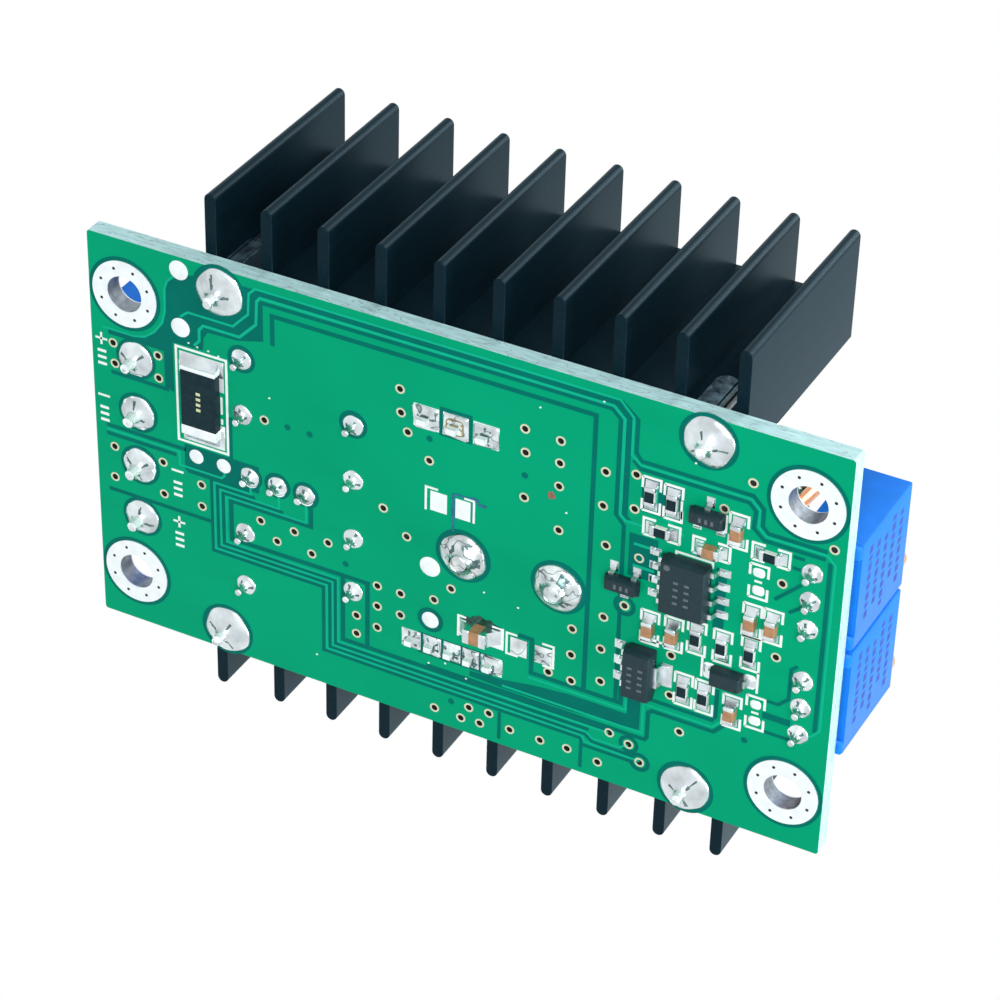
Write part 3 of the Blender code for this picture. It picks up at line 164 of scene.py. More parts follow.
# Near black: painted shade inside the narrow via holes
VIA_HOLE_SHADE = surface("via_hole_painted_shade", (0.01, 0.012, 0.01), 0.8)
VIA_RIM = surface("via_rim", (0.66, 0.68, 0.50), 0.4, metallic=0.4, grain=2000)
HOLE_WALL = surface("plated_hole_wall", (0.24, 0.28, 0.32), 0.4, metallic=0.6, grain=2000,
                    mottle=0.3)
ANODISED = surface("black_anodised", (0.003, 0.014, 0.022), 0.33, metallic=0.3, grain=900,
                   mottle=0.25, bump=0.004, stretch=(6, 6, 0.15), shine=0.11,
                   Specular_Tint=(0.58, 0.86, 1, 1))
STAKED = surface("staked_aluminium", (0.15, 0.23, 0.28), 0.3, metallic=0.9, grain=1600, mottle=0.7,
                 bump=0.06)
EPOXY = surface("black_epoxy", (0.010, 0.030, 0.038), 0.45, grain=3000, mottle=0.15, bump=0.01,
                shine=0.25)
EPOXY_MARK = surface("laser_mark", (0.09, 0.12, 0.13), 0.6, grain=3000)
CERAMIC = surface("ceramic_tan", (0.40, 0.21, 0.10), 0.5, grain=2000, mottle=0.15)
ALUMINA = surface("alumina_white", (0.82, 0.84, 0.82), 0.5, grain=2000)
GLAZE = surface("resistor_glaze", (0.008, 0.026, 0.034), 0.35, grain=2000, mottle=0.2, shine=0.08)
PALE_MARK = surface("pale_yellow_mark", (0.62, 0.66, 0.40), 0.6, grain=2500)
BLUE = surface("blue_plastic", (0.012, 0.21, 0.85), 0.35, grain=700, mottle=0.06, bump=0.004,
               shine=0.08)
BLUE_MARK = surface("trimmer_print", (0.002, 0.045, 0.36), 0.5, grain=1500)
BRASS = surface("turned_brass", (0.80, 0.56, 0.24), 0.28, metallic=1, grain=900, mottle=0.08,
                bump=0.01, stretch=(1, 1, 6))
COPPER = surface("enamelled_copper", (0.75, 0.27, 0.10), 0.22, metallic=0.9, grain=1500,
                 mottle=0.12, Coat_Weight=0.6, Coat_Roughness=0.1)
ZINC = surface("zinc_steel", (0.66, 0.67, 0.66), 0.3, metallic=1, grain=1500, mottle=0.1,
               bump=0.008)
CAN = surface("can_aluminium", (0.80, 0.81, 0.82), 0.34, metallic=1, grain=900, mottle=0.06,
              bump=0.01)
SLEEVE = surface("capacitor_sleeve", (0.012, 0.016, 0.03), 0.28, grain=500, mottle=0.15, bump=0.01)
SLEEVE_MARK = surface("sleeve_print", (0.55, 0.57, 0.6), 0.4, grain=900)
CORE = surface("powder_core", (0.015, 0.16, 0.10), 0.5, grain=1800, mottle=0.25, bump=0.03)
PAD = surface("silicone_pad", (0.42, 0.44, 0.47), 0.75, grain=2500, mottle=0.1, bump=0.02)
LENS = surface("lamp_lens", (0.85, 0.85, 0.75), 0.2, grain=900)


# Shapes

def arc(centre, radius, start, end, steps):
    """Points along a circular arc, angles in degrees."""
    angles = [math.radians(start + (end - start) * i / steps) for i in range(steps + 1)]
    return [(centre[0] + radius * math.cos(a), centre[1] + radius * math.sin(a)) for a in angles]


def circle(centre, radius, sides):
    """The corners of a full circle."""
    return arc(centre, radius, 0, 360 - 360 / sides, sides - 1)


def rounded(low, high, radius, steps=4):
    """A rectangle's outline with round corners."""
    (x0, y0), (x1, y1) = low, high
    r = radius
    return (arc((x0 + r, y0 + r), r, 180, 270, steps) + arc((x1 - r, y0 + r), r, 270, 360, steps)
            + arc((x1 - r, y1 - r), r, 0, 90, steps) + arc((x0 + r, y1 - r), r, 90, 180, steps))


class Shape:
    """Closed solids in millimetres in one mesh; paint is the material slot of what is added."""

    def __init__(self, at=(0, 0, 0), turn=0):
        self.bm = bmesh.new()
        self.paint = 0
        self.move(at, turn)

    def move(self, at=(0, 0, 0), turn=0):
        """Draws what follows round a place, turned by degrees about the upright."""
        self.place = Matrix.Translation(at) @ Matrix.Rotation(math.radians(turn), 4, "Z")

    def skin(self, rings, loop=False):
        """Joins closed rings of as many corners, and caps them or joins last to first."""
        rows = [[self.bm.verts.new(self.place @ Vector(point)) for point in ring]
                for ring in rings]
        faces = [] if loop else [rows[0], rows[-1]]
        for near, far in zip(rows, rows[1:] + (rows[:1] if loop else [])):
            faces += [(near[i - 1], near[i], far[i], far[i - 1]) for i in range(len(near))]
        for corners in faces:
            self.bm.faces.new(corners).material_index = self.paint

    def prism(self, outline, low, high, axis="z"):
        """An outline extruded between two levels of an axis."""
        self.skin([[{"x": (c, a, b), "y": (a, c, b), "z": (a, b, c)}[axis] for a, b in outline]
                   for c in (low, high)])

    def box(self, corner, far, edge=0):
        """A box between two opposite corners, its edges broken by a small chamfer."""
        (x0, x1), (y0, y1), (z0, z1) = (sorted(pair) for pair in zip(corner, far))
        if edge:
            self.stack((x0, y0), (x1, y1), edge, 1,
                       ((z0, edge), (z0 + edge, 0), (z1 - edge, 0), (z1, edge)))
        else:
            self.prism([(x0, y0), (x1, y0), (x1, y1), (x0, y1)], z0, z1)

    def stack(self, corner, far, radius, steps, levels):
        """A block with round corners, from its heights and how far it is drawn in at each."""
        (x0, y0), (x1, y1) = corner, far
        self.skin([[(*point, z) for point in
                    rounded((x0 + inset, y0 + inset), (x1 - inset, y1 - inset), radius, steps)]
                   for z, inset in levels])

    def slab(self, reach, half, levels, edge=0):
        """A box between two reaches along x, as wide to either side, and between two levels."""
        self.box((reach[0], -half, levels[0]), (reach[1], half, levels[1]), edge)

    def lathe(self, profile, centre=(0, 0), sides=32, wobble=0, seed=0):
        """A solid turned about an upright axis from radii and heights, perhaps uneven."""
        rings = []
        for radius, z in profile:
            ring = []
            for x, y in circle((0, 0), 1, sides):
                uneven = 1 + wobble * noise.noise(Vector((x * 1.3 + seed, y * 1.3, z * 0.9)))
                ring.append((centre[0] + radius * uneven * x, centre[1] + radius * uneven * y, z))
            rings.append(ring)
        self.skin(rings)

    def hoop(self, profile, centre=(0, 0), sides=32):
        """A ring turned from a closed profile of radii and heights."""
        self.skin([[(centre[0] + radius * x, centre[1] + radius * y, z) for radius, z in profile]
                   for x, y in circle((0, 0), 1, sides)], loop=True)

    def flat_ring(self, centre, inner, outer, low, high, sides):
        """A washer or a round pad with a hole."""
        self.hoop([(inner, low), (inner, high), (outer, high), (outer, low)], centre, sides)

    def tube(self, route, radius, sides=12):
        """A round wire along a route of points."""
        points = [Vector(point) for point in route]
        across = (points[1] - points[0]).orthogonal().normalized()
        rings = []
        for index, point in enumerate(points):
            ahead = points[min(index + 1, len(points) - 1)]
            heading = (ahead - points[max(index - 1, 0)]).normalized()
            across = (across - heading * across.dot(heading)).normalized()
            other = heading.cross(across)
            rings.append([point + x * across + y * other
                          for x, y in circle((0, 0), radius, sides)])
        self.skin(rings)

    def ribbon(self, points, width, low, high, loop=False):
        """A flat strip of a given width along a route, mitred at its corners."""
        points = [Vector(point) for point in points]
        steps = [(ahead - point).normalized()
                 for point, ahead in zip(points, points[1:] + points[:1])]
        rings = []
        for index, point in enumerate(points):
            into = steps[index - 1 if index or loop else 0]
            out = steps[index if index < len(points) - 1 or loop else -2]
            along = (into + out).normalized()
            side = Vector((-along.y, along.x)) * width / 2 / max(0.5, along.dot(out))
            left, right = point + side, point - side
            rings.append([(*left, low), (*right, low), (*right, high), (*left, high)])
        self.skin(rings, loop)

    def finish(self, name, surfaces, slot, stands_for=(), body="module", smooth=35, soften=0,
               weighed=False):
        """Makes the riding piece, its sharp or only its weighed edges perhaps softened."""
        bmesh.ops.scale(self.bm, vec=(mm, mm, mm), verts=self.bm.verts)
        bmesh.ops.recalc_face_normals(self.bm, faces=self.bm.faces)
        mesh = bpy.data.meshes.new(name)
        self.bm.to_mesh(mesh)
        self.bm.free()
        mesh.shade_smooth()
        mesh.set_sharp_from_angle(angle=math.radians(smooth))
        for material in surfaces:
            mesh.materials.append(material)
        made = add_object(name, mesh)
        if soften:
            edges = made.modifiers.new("edges", "BEVEL")
            edges.width = soften * mm
            edges.segments = 2
            edges.limit_method = "WEIGHT" if weighed else "ANGLE"
            edges.angle_limit = math.radians(40)
        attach(made, body)
        if stands_for:
            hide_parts(*stands_for)

    def dress(self, node, surfaces, slot, **more):
        """Makes the piece that stands for one CAD node."""
        self.finish(node + "_body", surfaces, slot, [node], **more)


def below(layer):
    """The two levels of a thin layer on the solder face."""
    return UNDER - layer * MASK_STEP, UNDER + MASK_STEP / 2


def disc(shape, centre, radius, levels, sides=24):
    """A flat round plate."""
    shape.prism(circle(centre, radius, sides), *levels)


# Board

VIAS = [
    (-30.5, -8.5), (-30.4, -6.6), (-26.3, -8.6), (-26.3, -6.5), (-30.8, 1.5), (-30.9, 4.5),
    (-26.2, 1.5), (-26.2, 4.6), (-22.6, 2.5), (-22.6, 4.6), (-16.6, -5.7), (-17.1, 4.1),
    (-15.6, 5.6), (-14, 4.1), (-12.4, 5.7), (-10.9, 4.1), (-8.3, 10.3), (-8.3, 12.1),
    (-4.5, -12.5), (-4.4, -10.4), (-3.8, -8.8), (-1.9, -6.8), (-5.9, -1), (-3.8, 1),
    (-6.4, 6.7), (-4.3, 6.7), (-6.4, 8.7), (-4.3, 8.8), (-6.4, 10.8), (-1.3, 6.2), (0.2, 4.6),
    (6.2, -12.4), (6.3, -10.3), (6.3, -6.2), (9.2, -12.3), (9.2, -10.3), (9.2, -8.2), (9.3, -4.2),
    (10.8, 4.6), (10.8, 7.1), (10.9, 9.6), (8.9, 9.5), (13, -10.8), (12.9, -7.7), (13.3, -4.2),
    (13.4, 2.5), (13.3, 5.6), (13.4, 8.7), (15.5, -11.4), (15.5, -8.3), (16.1, -4), (15.1, 0.8),
    (19.2, 4), (19.3, 7.8), (20.3, 11), (14.4, 13.4), (16.1, 13.9), (17.1, 15.3), (13.5, 16.7),
    (10.8, 16.4), (8.4, 16.5), (5.7, 16.5), (-1.1, 16.9), (2, 15.7), (3.8, 15.6), (1.3, 17),
    (3, 16.9), (24.8, -13.8), (22.7, -10.8), (31.5, -10.2), (27.7, -5.8), (27.7, 1),
]
TENTED = [
    (-14.5, -5.7), (-12.5, -5.7), (-9.3, 5.6), (-1.9, -8.8), (6.3, -8.2), (0.4, 15.7), (25.7, 9.7),
]
VIA_RADIUS, VIA_RIM_RADIUS = 0.28, 0.42
BOARD_CORNER = 0.25
RING_RADIUS, HOLE_RADIUS = 2.95, 1.6

# Where the copper is parted: strip width and route
GAP_LINES = [
    (0.5, [(-17.2, -17.2), (13.7, -17.1), (14.7, -16.1), (14.7, -7.4), (15.1, -7)]),
    (0.35, [(14, -17.4), (15.4, -16.2), (15.4, -13.3), (15.9, -12.7), (24.9, -12.7),
        (25.8, -11.8), (25.8, -10.3), (26.3, -9.8), (31, -9.8)]),
    (0.35, [(-16.75, -12.9), (-16.75, -16.4), (13.3, -16.5), (14, -15.8), (14, -7.3),
        (14.7, -6.5), (14.75, 10)]),
    (0.4, [(-15.75, -12.8), (-15.75, -15.5), (12, -15.5), (12, 10.15)]),
    (0.4, [(6.2, 6.9), (7.4, 6.9), (7.4, 10.15), (15.2, 10.15), (15.2, 7.8)]),
    (0.35, [(15.2, -12.6), (15.8, -12), (24.6, -12), (25.2, -11.4), (25.1, -9.9), (26, -9.1),
        (30.9, -9.1)]),
    (0.35, [(-31.5, -0.45), (-24, -0.45)]),
    (0.35, [(-31.5, 0.35), (-24.9, 0.35)]),
    (0.35, [(-23.9, 1.55), (-18, 1.55)]),
    (0.35, [(-31.5, 5.8), (-21.8, 5.8)]),
    (0.35, [(-19.75, -4.9), (-19.75, -0.9)]),
    (0.35, [(-30.8, -9.4), (-25.55, -9.4), (-25.55, -5.7), (-30.8, -5.7)]),
    (0.3, [(-21.65, 1.6), (-21.65, 8.6), (-11.35, 8.6), (-11.35, 14.9), (12, 14.9),
        (12, 17.8)]),
    (0.3, [(-17.6, 2.1), (-21.1, 2.1), (-21.1, 8.05), (-10.75, 8.05), (-10.75, 14.35),
        (12.3, 14.35), (13, 14.9), (16.3, 14.9)]),
    (0.3, [(-15, 2.6), (-20.6, 2.6), (-20.6, 7.55), (-10.25, 7.55), (-10.25, 13.85),
        (12.6, 13.8)]),
    (0.4, [(-12.45, 1.3), (-12.45, 3.1), (-19.85, 3.1), (-19.85, 6.85), (-7.3, 6.8), (-7.3, 13.1)]),
    (0.4, [(-9.55, 6.9), (-9.55, 13.15), (14, 13.15)]),
    (0.3, [(4.75, 15.1), (4.75, 17.8)]),
    (0.3, [(12, 15.5), (16.3, 15.5)]),
    (0.35, [(-1.9, 12.9), (17.4, 12.9), (17.6, 12.6), (17.6, 10.2), (17.9, 9.9), (23.1, 9.9),
        (24, 8.9)]),
    (0.35, [(17.6, 8.85), (22.9, 8.85), (23.2, 8.4), (23.2, 5.8)]),
    (0.35, [(31.3, -8.9), (31.3, 6.8)]),
    (0.3, [(27.2, -4.2), (29.2, -6.2)]),
    (0.3, [(28.4, -3.4), (29.6, -4.4)]),
    (0.3, [(28.4, -8.5), (29.3, -8.5)]),
    (0.3, [(28.4, -7.5), (29.4, -7.5)]),
    (0.3, [(29.5, 1.2), (29, 1.7), (29, 4.5), (28.2, 5.3), (27.1, 5.3)]),
    (0.6, [(27, 6.7), (29.3, 6.7)]),
    (0.3, [(27, 8.25), (29.3, 8.25)]),
]
# Where there is no copper: corners of each area
GAP_AREAS = [
    [(-25.3, -15.6), (-24.5, -16.3), (-23.3, -16.9), (-18.3, -17.4), (-17, -17.4), (-16.7, -16.9),
        (-16.7, -12.9), (-18.9, -12.3), (-21.6, -12.2), (-22, -11.6), (-22.1, -10.4),
        (-24.9, -10.3), (-24.9, -5.6), (-25.7, -5.95), (-25.7, -9.2), (-30.9, -9.25), (-30.9, -9.7),
        (-28.3, -9.7), (-26.8, -10.5), (-25.9, -11.6), (-25.4, -13.2)],
    [(-24.1, -1), (-17.2, -1), (-17.2, 1.55), (-24.1, 1.55)],
    [(2, 12), (4.8, 11.8), (7.8, 11.3), (10.9, 11), (15.8, 11), (15.8, 9.2), (16.9, 9.2),
        (16.9, 12.15), (10.9, 12.6), (4.8, 12.6), (2, 12.5)],
    [(-2.7, 9.8), (4, 9.8), (4, 11.85), (-2.7, 11.85)],
    [(15.2, -6.1), (17.6, -6.1), (17.6, -2.2), (15.2, -2.2)],
    [(18, -5.2), (22, -5.2), (22, 0.3), (18, 0.3)],
    [(22.4, -5.4), (23.3, -5.4), (23.3, 0.1), (22.4, 0.1)],
    [(16, -11.4), (19.4, -11.4), (19.4, -8.3), (16, -8.3)],
    [(-1.05, -12.05), (1.75, -12.05), (1.75, -9.45), (-1.05, -9.45)],
    [(-24.2, -8.5), (-20.7, -8.5), (-20.7, -3), (-24.2, -3)],
]
# Lines of copper inside the gaps
TRACES = [
    (0.2, [(-24.7, -16.3), (-25.2, -15.8), (-25.5, -15), (-25.5, -13), (-25.8, -11.8),
        (-26.6, -10.7), (-27.5, -10), (-28.5, -9.75), (-31.5, -9.75)]),
    (0.2, [(-24.1, -12.9), (-23.4, -13.5), (-19.3, -13.5), (-17.9, -15), (-17.8, -16.9),
        (-17.2, -17.5), (13.9, -17.5), (15.05, -16.3), (15.05, -13), (15.8, -12.35),
        (24.8, -12.35), (25.5, -11.6), (25.5, -10.1), (26.2, -9.5), (31, -9.5), (31.7, -8.8),
        (31.7, 6.5), (31, 7.3), (30.1, 7.6)]),
    (0.25, [(-22.9, -10.6), (-22.4, -11.2), (-22.4, -12.2), (-22, -12.7), (-18.7, -12.7),
        (-17.2, -14.3), (-17.1, -16.4), (-16.8, -16.8), (13.4, -16.8), (14.35, -15.9),
        (14.35, -7.4), (14.8, -7), (16.3, -7)]),
    (0.2, [(-31.5, -0.05), (-24.6, -0.05), (-24.6, 1.2), (-20.7, 1.2), (-20.4, 0.9), (-20.4, 0.4)]),
    (0.2, [(-18, 1), (-18, 1.85), (-21.4, 1.85), (-21.4, 8.3), (-11.05, 8.3), (-11.05, 14.6),
        (12, 14.6), (12.3, 15.1), (17.1, 15.2)]),
    (0.2, [(-15.4, 1), (-15.4, 2.35), (-20.85, 2.35), (-20.85, 7.8), (-10.5, 7.8), (-10.5, 14.1),
        (12.4, 14.1), (12.9, 14.5), (15.3, 14.5), (16, 14)]),
    (0.2, [(-12.9, 1), (-12.9, 2.85), (-20.3, 2.85), (-20.3, 7.3), (-10, 7.3), (-10, 13.55),
        (14.3, 13.45)]),
    (0.2, [(7.1, 10.65), (15.65, 10.65), (15.65, 8.3)]),
    (0.2, [(4.9, 12.35), (17.15, 12.35), (17.15, 9.45), (23, 9.45), (23.75, 8.6), (23.6, 5.6)]),
    (0.3, [(17.2, -11), (17.2, -8.6)]),
    (0.3, [(18.2, -8.9), (18.2, -8.3), (19.6, -7.2)]),
    (0.25, [(15.6, -5.2), (17.4, -5.2)]),
    (0.25, [(15.6, -3.2), (17.4, -3.2)]),
]
# Dark rings round joints: centre and the two radii
GAP_RINGS = [
    ((1.2, 1.1), 1.9, 2.42), ((9.5, 1.1), 1.9, 2.42), ((-18.6, -10.7), 0.8, 1.25),
    ((-8.6, -7.9), 0.8, 1.25), ((-18.1, 0.2), 0.7, 1.2), ((-15.5, 0.2), 0.7, 1.2),
    ((-12.9, 0.2), 0.7, 1.2), ((-1.6, 8.3), 0.75, 1.15), ((15.1, 0.8), 0.6, 0.95),
    ((17.1, 15.3), 0.55, 0.9), ((16.1, 13.9), 0.55, 0.85),
]


def make_board_plate():
    """The drilled laminate under green mask, with a pale edge and plated corner holes."""
    shape = Shape()
    bm = shape.bm
    half_x, half_y = BOARD_LENGTH / 2, BOARD_WIDTH / 2
    edges = []
    for outline in ([rounded((-half_x, -half_y), (half_x, half_y), BOARD_CORNER)]
                    + [circle(centre, HOLE_RADIUS, 48) for centre in MOUNT_HOLES]
                    + [circle(centre, VIA_RADIUS, 12) for centre in VIAS]):
        verts = [bm.verts.new((*point, UNDER)) for point in outline]
        edges += [bm.edges.new(pair) for pair in zip(verts, verts[1:] + verts[:1])]
    bmesh.ops.triangle_fill(bm, use_beauty=True, edges=edges)
    moved = bmesh.ops.extrude_face_region(bm, geom=list(bm.faces))["geom"]
    bmesh.ops.translate(bm, vec=(0, 0, OVER - UNDER),
                        verts=[v for v in moved if isinstance(v, bmesh.types.BMVert)])
    bm.normal_update()
    for face in bm.faces:
        if abs(face.normal.z) <= 0.5:
            x, y, _ = face.calc_center_median()
            at_edge = abs(x) > half_x - 0.6 or abs(y) > half_y - 0.6
            in_hole = any(math.dist((x, y), hole) < HOLE_RADIUS + 0.1 for hole in MOUNT_HOLES)
            # Via walls take the near black of painted shade inside the holes
            face.material_index = 1 if at_edge else 2 if in_hole else 3
    shape.finish("board_plate", [MASK, LAMINATE, HOLE_WALL, VIA_HOLE_SHADE], "laminate",
                 ["circuit_board"])


def make_board_pattern():
    """Gaps and lines of the copper, seen through the mask."""
    shape = Shape()
    for index, (width, route) in enumerate(GAP_LINES):
        shape.ribbon(route, width, *below(GAP_LAYER + LAYER_STEP * index))
    for index, outline in enumerate(GAP_AREAS):
        shape.prism(outline, *below(AREA_LAYER + LAYER_STEP * index))
    rings = [(centre, (inner + outer) / 2, outer - inner, 36, GAP_RING_LAYER + LAYER_STEP * index)
             for index, (centre, inner, outer) in enumerate(GAP_RINGS)]
    rings += [(centre, radius, width, sides, RING_LAYER) for centres, radius, width, sides in
              ((MOUNT_HOLES, RING_RADIUS + 0.15, 0.4, 60), (SINK_PINS, 2.2, 0.45, 45),
               (POLES, 1.7, 0.3, 36)) for centre in centres]
    for centre, radius, width, sides, layer in rings:
        shape.ribbon(circle(centre, radius, sides), width, *below(layer), loop=True)
    for centre in TENTED:
        disc(shape, centre, 0.28, below(RING_LAYER), 12)
    shape.paint = 1
    for index, (width, route) in enumerate(TRACES):
        shape.ribbon(route, width, *below(TRACE_LAYER + LAYER_STEP * index))
    shape.finish("board_copper_pattern", [GAP, TRACE], "laminate")


# Print

SHUNT_FRAME = [(-24.6, -10.1), (-20, -10.1), (-20, -1.3), (-24.6, -1.3)]
PRINT_LINES = [
    [(19.1, -5.2), (19.1, -5.7), (22.1, -5.7), (22.1, -5.2)],
    [(-1.1, -4.35), (-2.15, -4.35), (-2.15, -2.2)],
    [(1.2, -4.35), (2.05, -4.35), (2.05, -2.3)],
    [(6.1, 7), (5.2, 7), (5.2, 9), (6.2, 9)],
    [(8.3, 6.95), (9.3, 6.95), (9.3, 9), (8.4, 9.05)],
    [(16.6, 3.15), (19.4, 3.15)],
    [(21.8, 3.2), (21.8, 5)],
    [(26.4, 2.95), (26.4, 4.9)],
    [(1.6, 6.9), (0.9, 6.9), (0.9, 8.9)],
    [(3.9, 6.9), (4.85, 6.9), (4.85, 8.9)],
    [(25.5, -5.3), (26.1, -5.3)],
    [(26.1, 6.78), (26.7, 6.78)],
    [(-20.5, -6.55), (-20.5, -4.95)],
    [(-20.5, -4.5), (-20.5, -4)],
    [(19.3, -10.3), (19.3, -8.7)],
    [(22.95, -10.3), (22.95, -8.7)],
]
# Plain signs beside the four poles in place of words: centre, and whether it is a plus
POLE_SIGNS = [((-31.6, -8.6), True), ((-31.6, -3.2), False), ((-24.85, 1.9), False),
              ((-24.85, 6.9), True)]
# Small two-ended chips: place, turn, and whether it is a capacitor
SMALL_CHIPS = [(place, turn, ceramic) for turn, ceramic, places in (
    (90, False, [(16.8, -10), (18.6, -9.9), (21.2, 1.6), (23.35, 1.65), (25.65, 1.45),
                 (20.4, 6.85), (22.15, 6.9)]),
    (0, False, [(17.8, -7.1), (26.65, -7.95)]),
    (90, True, [(23.95, -9.2), (25.55, -1.6), (27.25, -1.65), (17.3, 2.05), (19.3, 1.95),
                (24.5, 7.4)]),
    (0, True, [(21.9, -6.85)])) for place in places]
EMPTY_PLACES = [(25.83, -5.3), (26.4, 6.78)]


def make_print():
    """White outlines on the solder side. Words are left off for plain bars and signs."""
    shape = Shape()
    levels = below(PRINT_LAYER)
    shape.ribbon(SHUNT_FRAME, 0.2, *levels, loop=True)
    for route in PRINT_LINES:
        shape.ribbon(route, 0.18, *levels)
    for place, plus in POLE_SIGNS:
        shape.move((*place, 0))
        for step in (1.15, 1.75, 2.35):
            shape.ribbon([(-0.4, step), (0.4, step)], 0.24, *levels)
        shape.ribbon([(-0.55, 0), (0.55, 0)], 0.18, *levels)
        if plus:
            shape.ribbon([(0, -0.55), (0, 0.55)], 0.18, *levels)
    places = [(place, turn) for place, turn, _ in SMALL_CHIPS]
    for place, turn in places + [(place, 90) for place in EMPTY_PLACES]:
        shape.move((*place, 0), turn)
        for way in (-1, 1):
            shape.ribbon([(way * 0.5, 0.74), (way * 1.5, 0.74)], 0.2, *levels)
            shape.ribbon([(way * 0.5, -0.74), (way * 1.5, -0.74), (way * 1.5, 0.74)], 0.2, *levels)
    shape.finish("board_print", [INK], "laminate")


# Pads and solder

SQUARE_PADS = [
    ((-3.3, -11.7), (-1.1, -9.65)), ((-0.75, -11.7), (1.45, -9.65)), ((1.85, -11.7), (4.05, -9.65)),
    ((-4.15, 9.9), (-2.45, 11.6)), ((-2.2, 9.9), (-0.6, 11.6)), ((-0.35, 9.9), (1.15, 11.6)),
    ((1.35, 9.9), (2.8, 11.6)), ((3, 9.9), (4.85, 11.6)),
    ((-1.75, -4.1), (-0.3, -2.3)), ((0.45, -4.1), (1.75, -2.3)),
    ((5.55, 7.25), (7, 8.9)), ((7.7, 7.25), (9.2, 8.9)),
    ((1, 7.1), (2, 8.75)), ((3.8, 7), (4.75, 8.9)),
]
SHUNT_PADS = [((-24.3, -9.8), (-20.25, -8.3)), ((-24.1, -3.3), (-20.25, -1.55))]
SHUNT_STRIPS = [((-20.7, -8.4), (-20.25, -7)), ((-20.7, -3.8), (-20.25, -3.2)),
                ((-24.35, -8.9), (-24.15, -7.9)), ((-24.2, -4.6), (-24, -3.2))]
# Empty chip pads with a skin of solder: middle and half sizes
WET_PADS = [((25.8, -6.1), 0.5, 0.4), ((25.85, -4.5), 0.5, 0.42), ((26.4, 6), 0.45, 0.4),
            ((26.4, 7.55), 0.5, 0.4), ((25.75, 4.05), 0.5, 0.65), ((22.4, 4.25), 0.48, 0.75)]
DOT_PADS = [((-1.6, 8.3), 0.75), ((-24.1, -17.1), 0.85), ((-24.1, -11.9), 0.85),
            ((-23, -0.1), 0.65), ((-20.45, -0.05), 0.65), ((-1.7, 3.15), 0.9)]
CAPACITORS = {"input_capacitor_a": (-18.6, 8.4), "input_capacitor_b": (-8.6, 5.45),
              "output_capacitor_a": (-18.6, -8.1), "output_capacitor_b": (-8.6, -5.25)}
CAPACITOR_LEADS = [(x, y + side * 2.575) for x, y in CAPACITORS.values() for side in (-1, 1)]
# Trimmers: place along y, and how far the screw's slot is turned
TRIMMERS = {"voltage": (-5, 35), "current": (4.9, 110)}
THREE_LEADS = [(0.35 + step * 2.54, -10.65) for step in (-1, 0, 1)]
FIVE_LEADS = [(0.35 + step * 1.75, 10.65) for step in (-2, -1, 0, 1, 2)]
SMALL_LEADS = [(-15.5 + step * 2.54, 0.2) for step in (-1, 0, 1)]
TRIMMER_PINS = [(29.985, y + step * 2.54) for y, _ in TRIMMERS.values() for step in (-1, 0, 1)]
WINDING_ENDS = [(1.25, 1.15), (9.45, 1.15)]


def make_pads():
    """Tinned copper: corner rings with their small vias, square pads and bare dots."""
    shape = Shape()
    low, high = below(PAD_LAYER)
    for centre in MOUNT_HOLES:
        for levels in ((low - 0.05, high), (OVER - 0.02, OVER + 0.06)):
            shape.flat_ring(centre, HOLE_RADIUS - 0.01, RING_RADIUS, *levels, 64)
    for corner, far in SQUARE_PADS + SHUNT_STRIPS:
        shape.box((*corner, low), (*far, high))
    for centre, half_x, half_y in WET_PADS:
        shape.move((*centre, 0))
        outline = rounded((-half_x, -half_y), (half_x, half_y), 0.32)
        shape.skin([[(x * share, y * share, z) for x, y in outline] for share, z in
                    ((1, high), (1, low), (0.88, low - 0.06), (0.7, low - 0.09))])
    shape.move()
    for centre, radius in DOT_PADS:
        shape.lathe([(radius, high), (radius, low), (radius * 0.8, low - 0.05)], centre, 28)
    for x, y in SMALL_LEADS:
        shape.prism(rounded((x - 0.75, y - 0.8), (x + 0.75, y + 1), 0.7), low, high)
    for point in WINDING_ENDS + TRIMMER_PINS + CAPACITOR_LEADS + SMALL_LEADS + POLES:
        disc(shape, point, 1, (OVER - 0.01, OVER + 0.03))
    for x, y in THREE_LEADS + FIVE_LEADS:
        shape.box((x - 0.72, y - 1, OVER - 0.01), (x + 0.72, y + 1, OVER + 0.03))
    # Small vias round the corner holes are near-black discs: painted shade where the holes would be
    shape.paint = 1
    for hole in MOUNT_HOLES:
        for centre in arc(hole, 2.3, 22.5, 337.5, 7):
            disc(shape, centre, 0.14, (low - 0.056, low), 8)
    shape.paint = 2
    for centre in VIAS:
        for levels in ((low, high), (OVER - 0.01, OVER + 0.02)):
            shape.flat_ring(centre, VIA_RADIUS - 0.01, VIA_RIM_RADIUS, *levels, 14)
    shape.finish("board_pads", [TINNED, VIA_HOLE_SHADE, VIA_RIM], "tinned_metal")


# Solder on a thin lead and on a thick wire: its slot, number of streaks of painted shade and their
# half width
THIN_JOINT, THICK_JOINT, THICK_CORE = (0, 3, 0.11), (3, 6, 0.17), 0.8


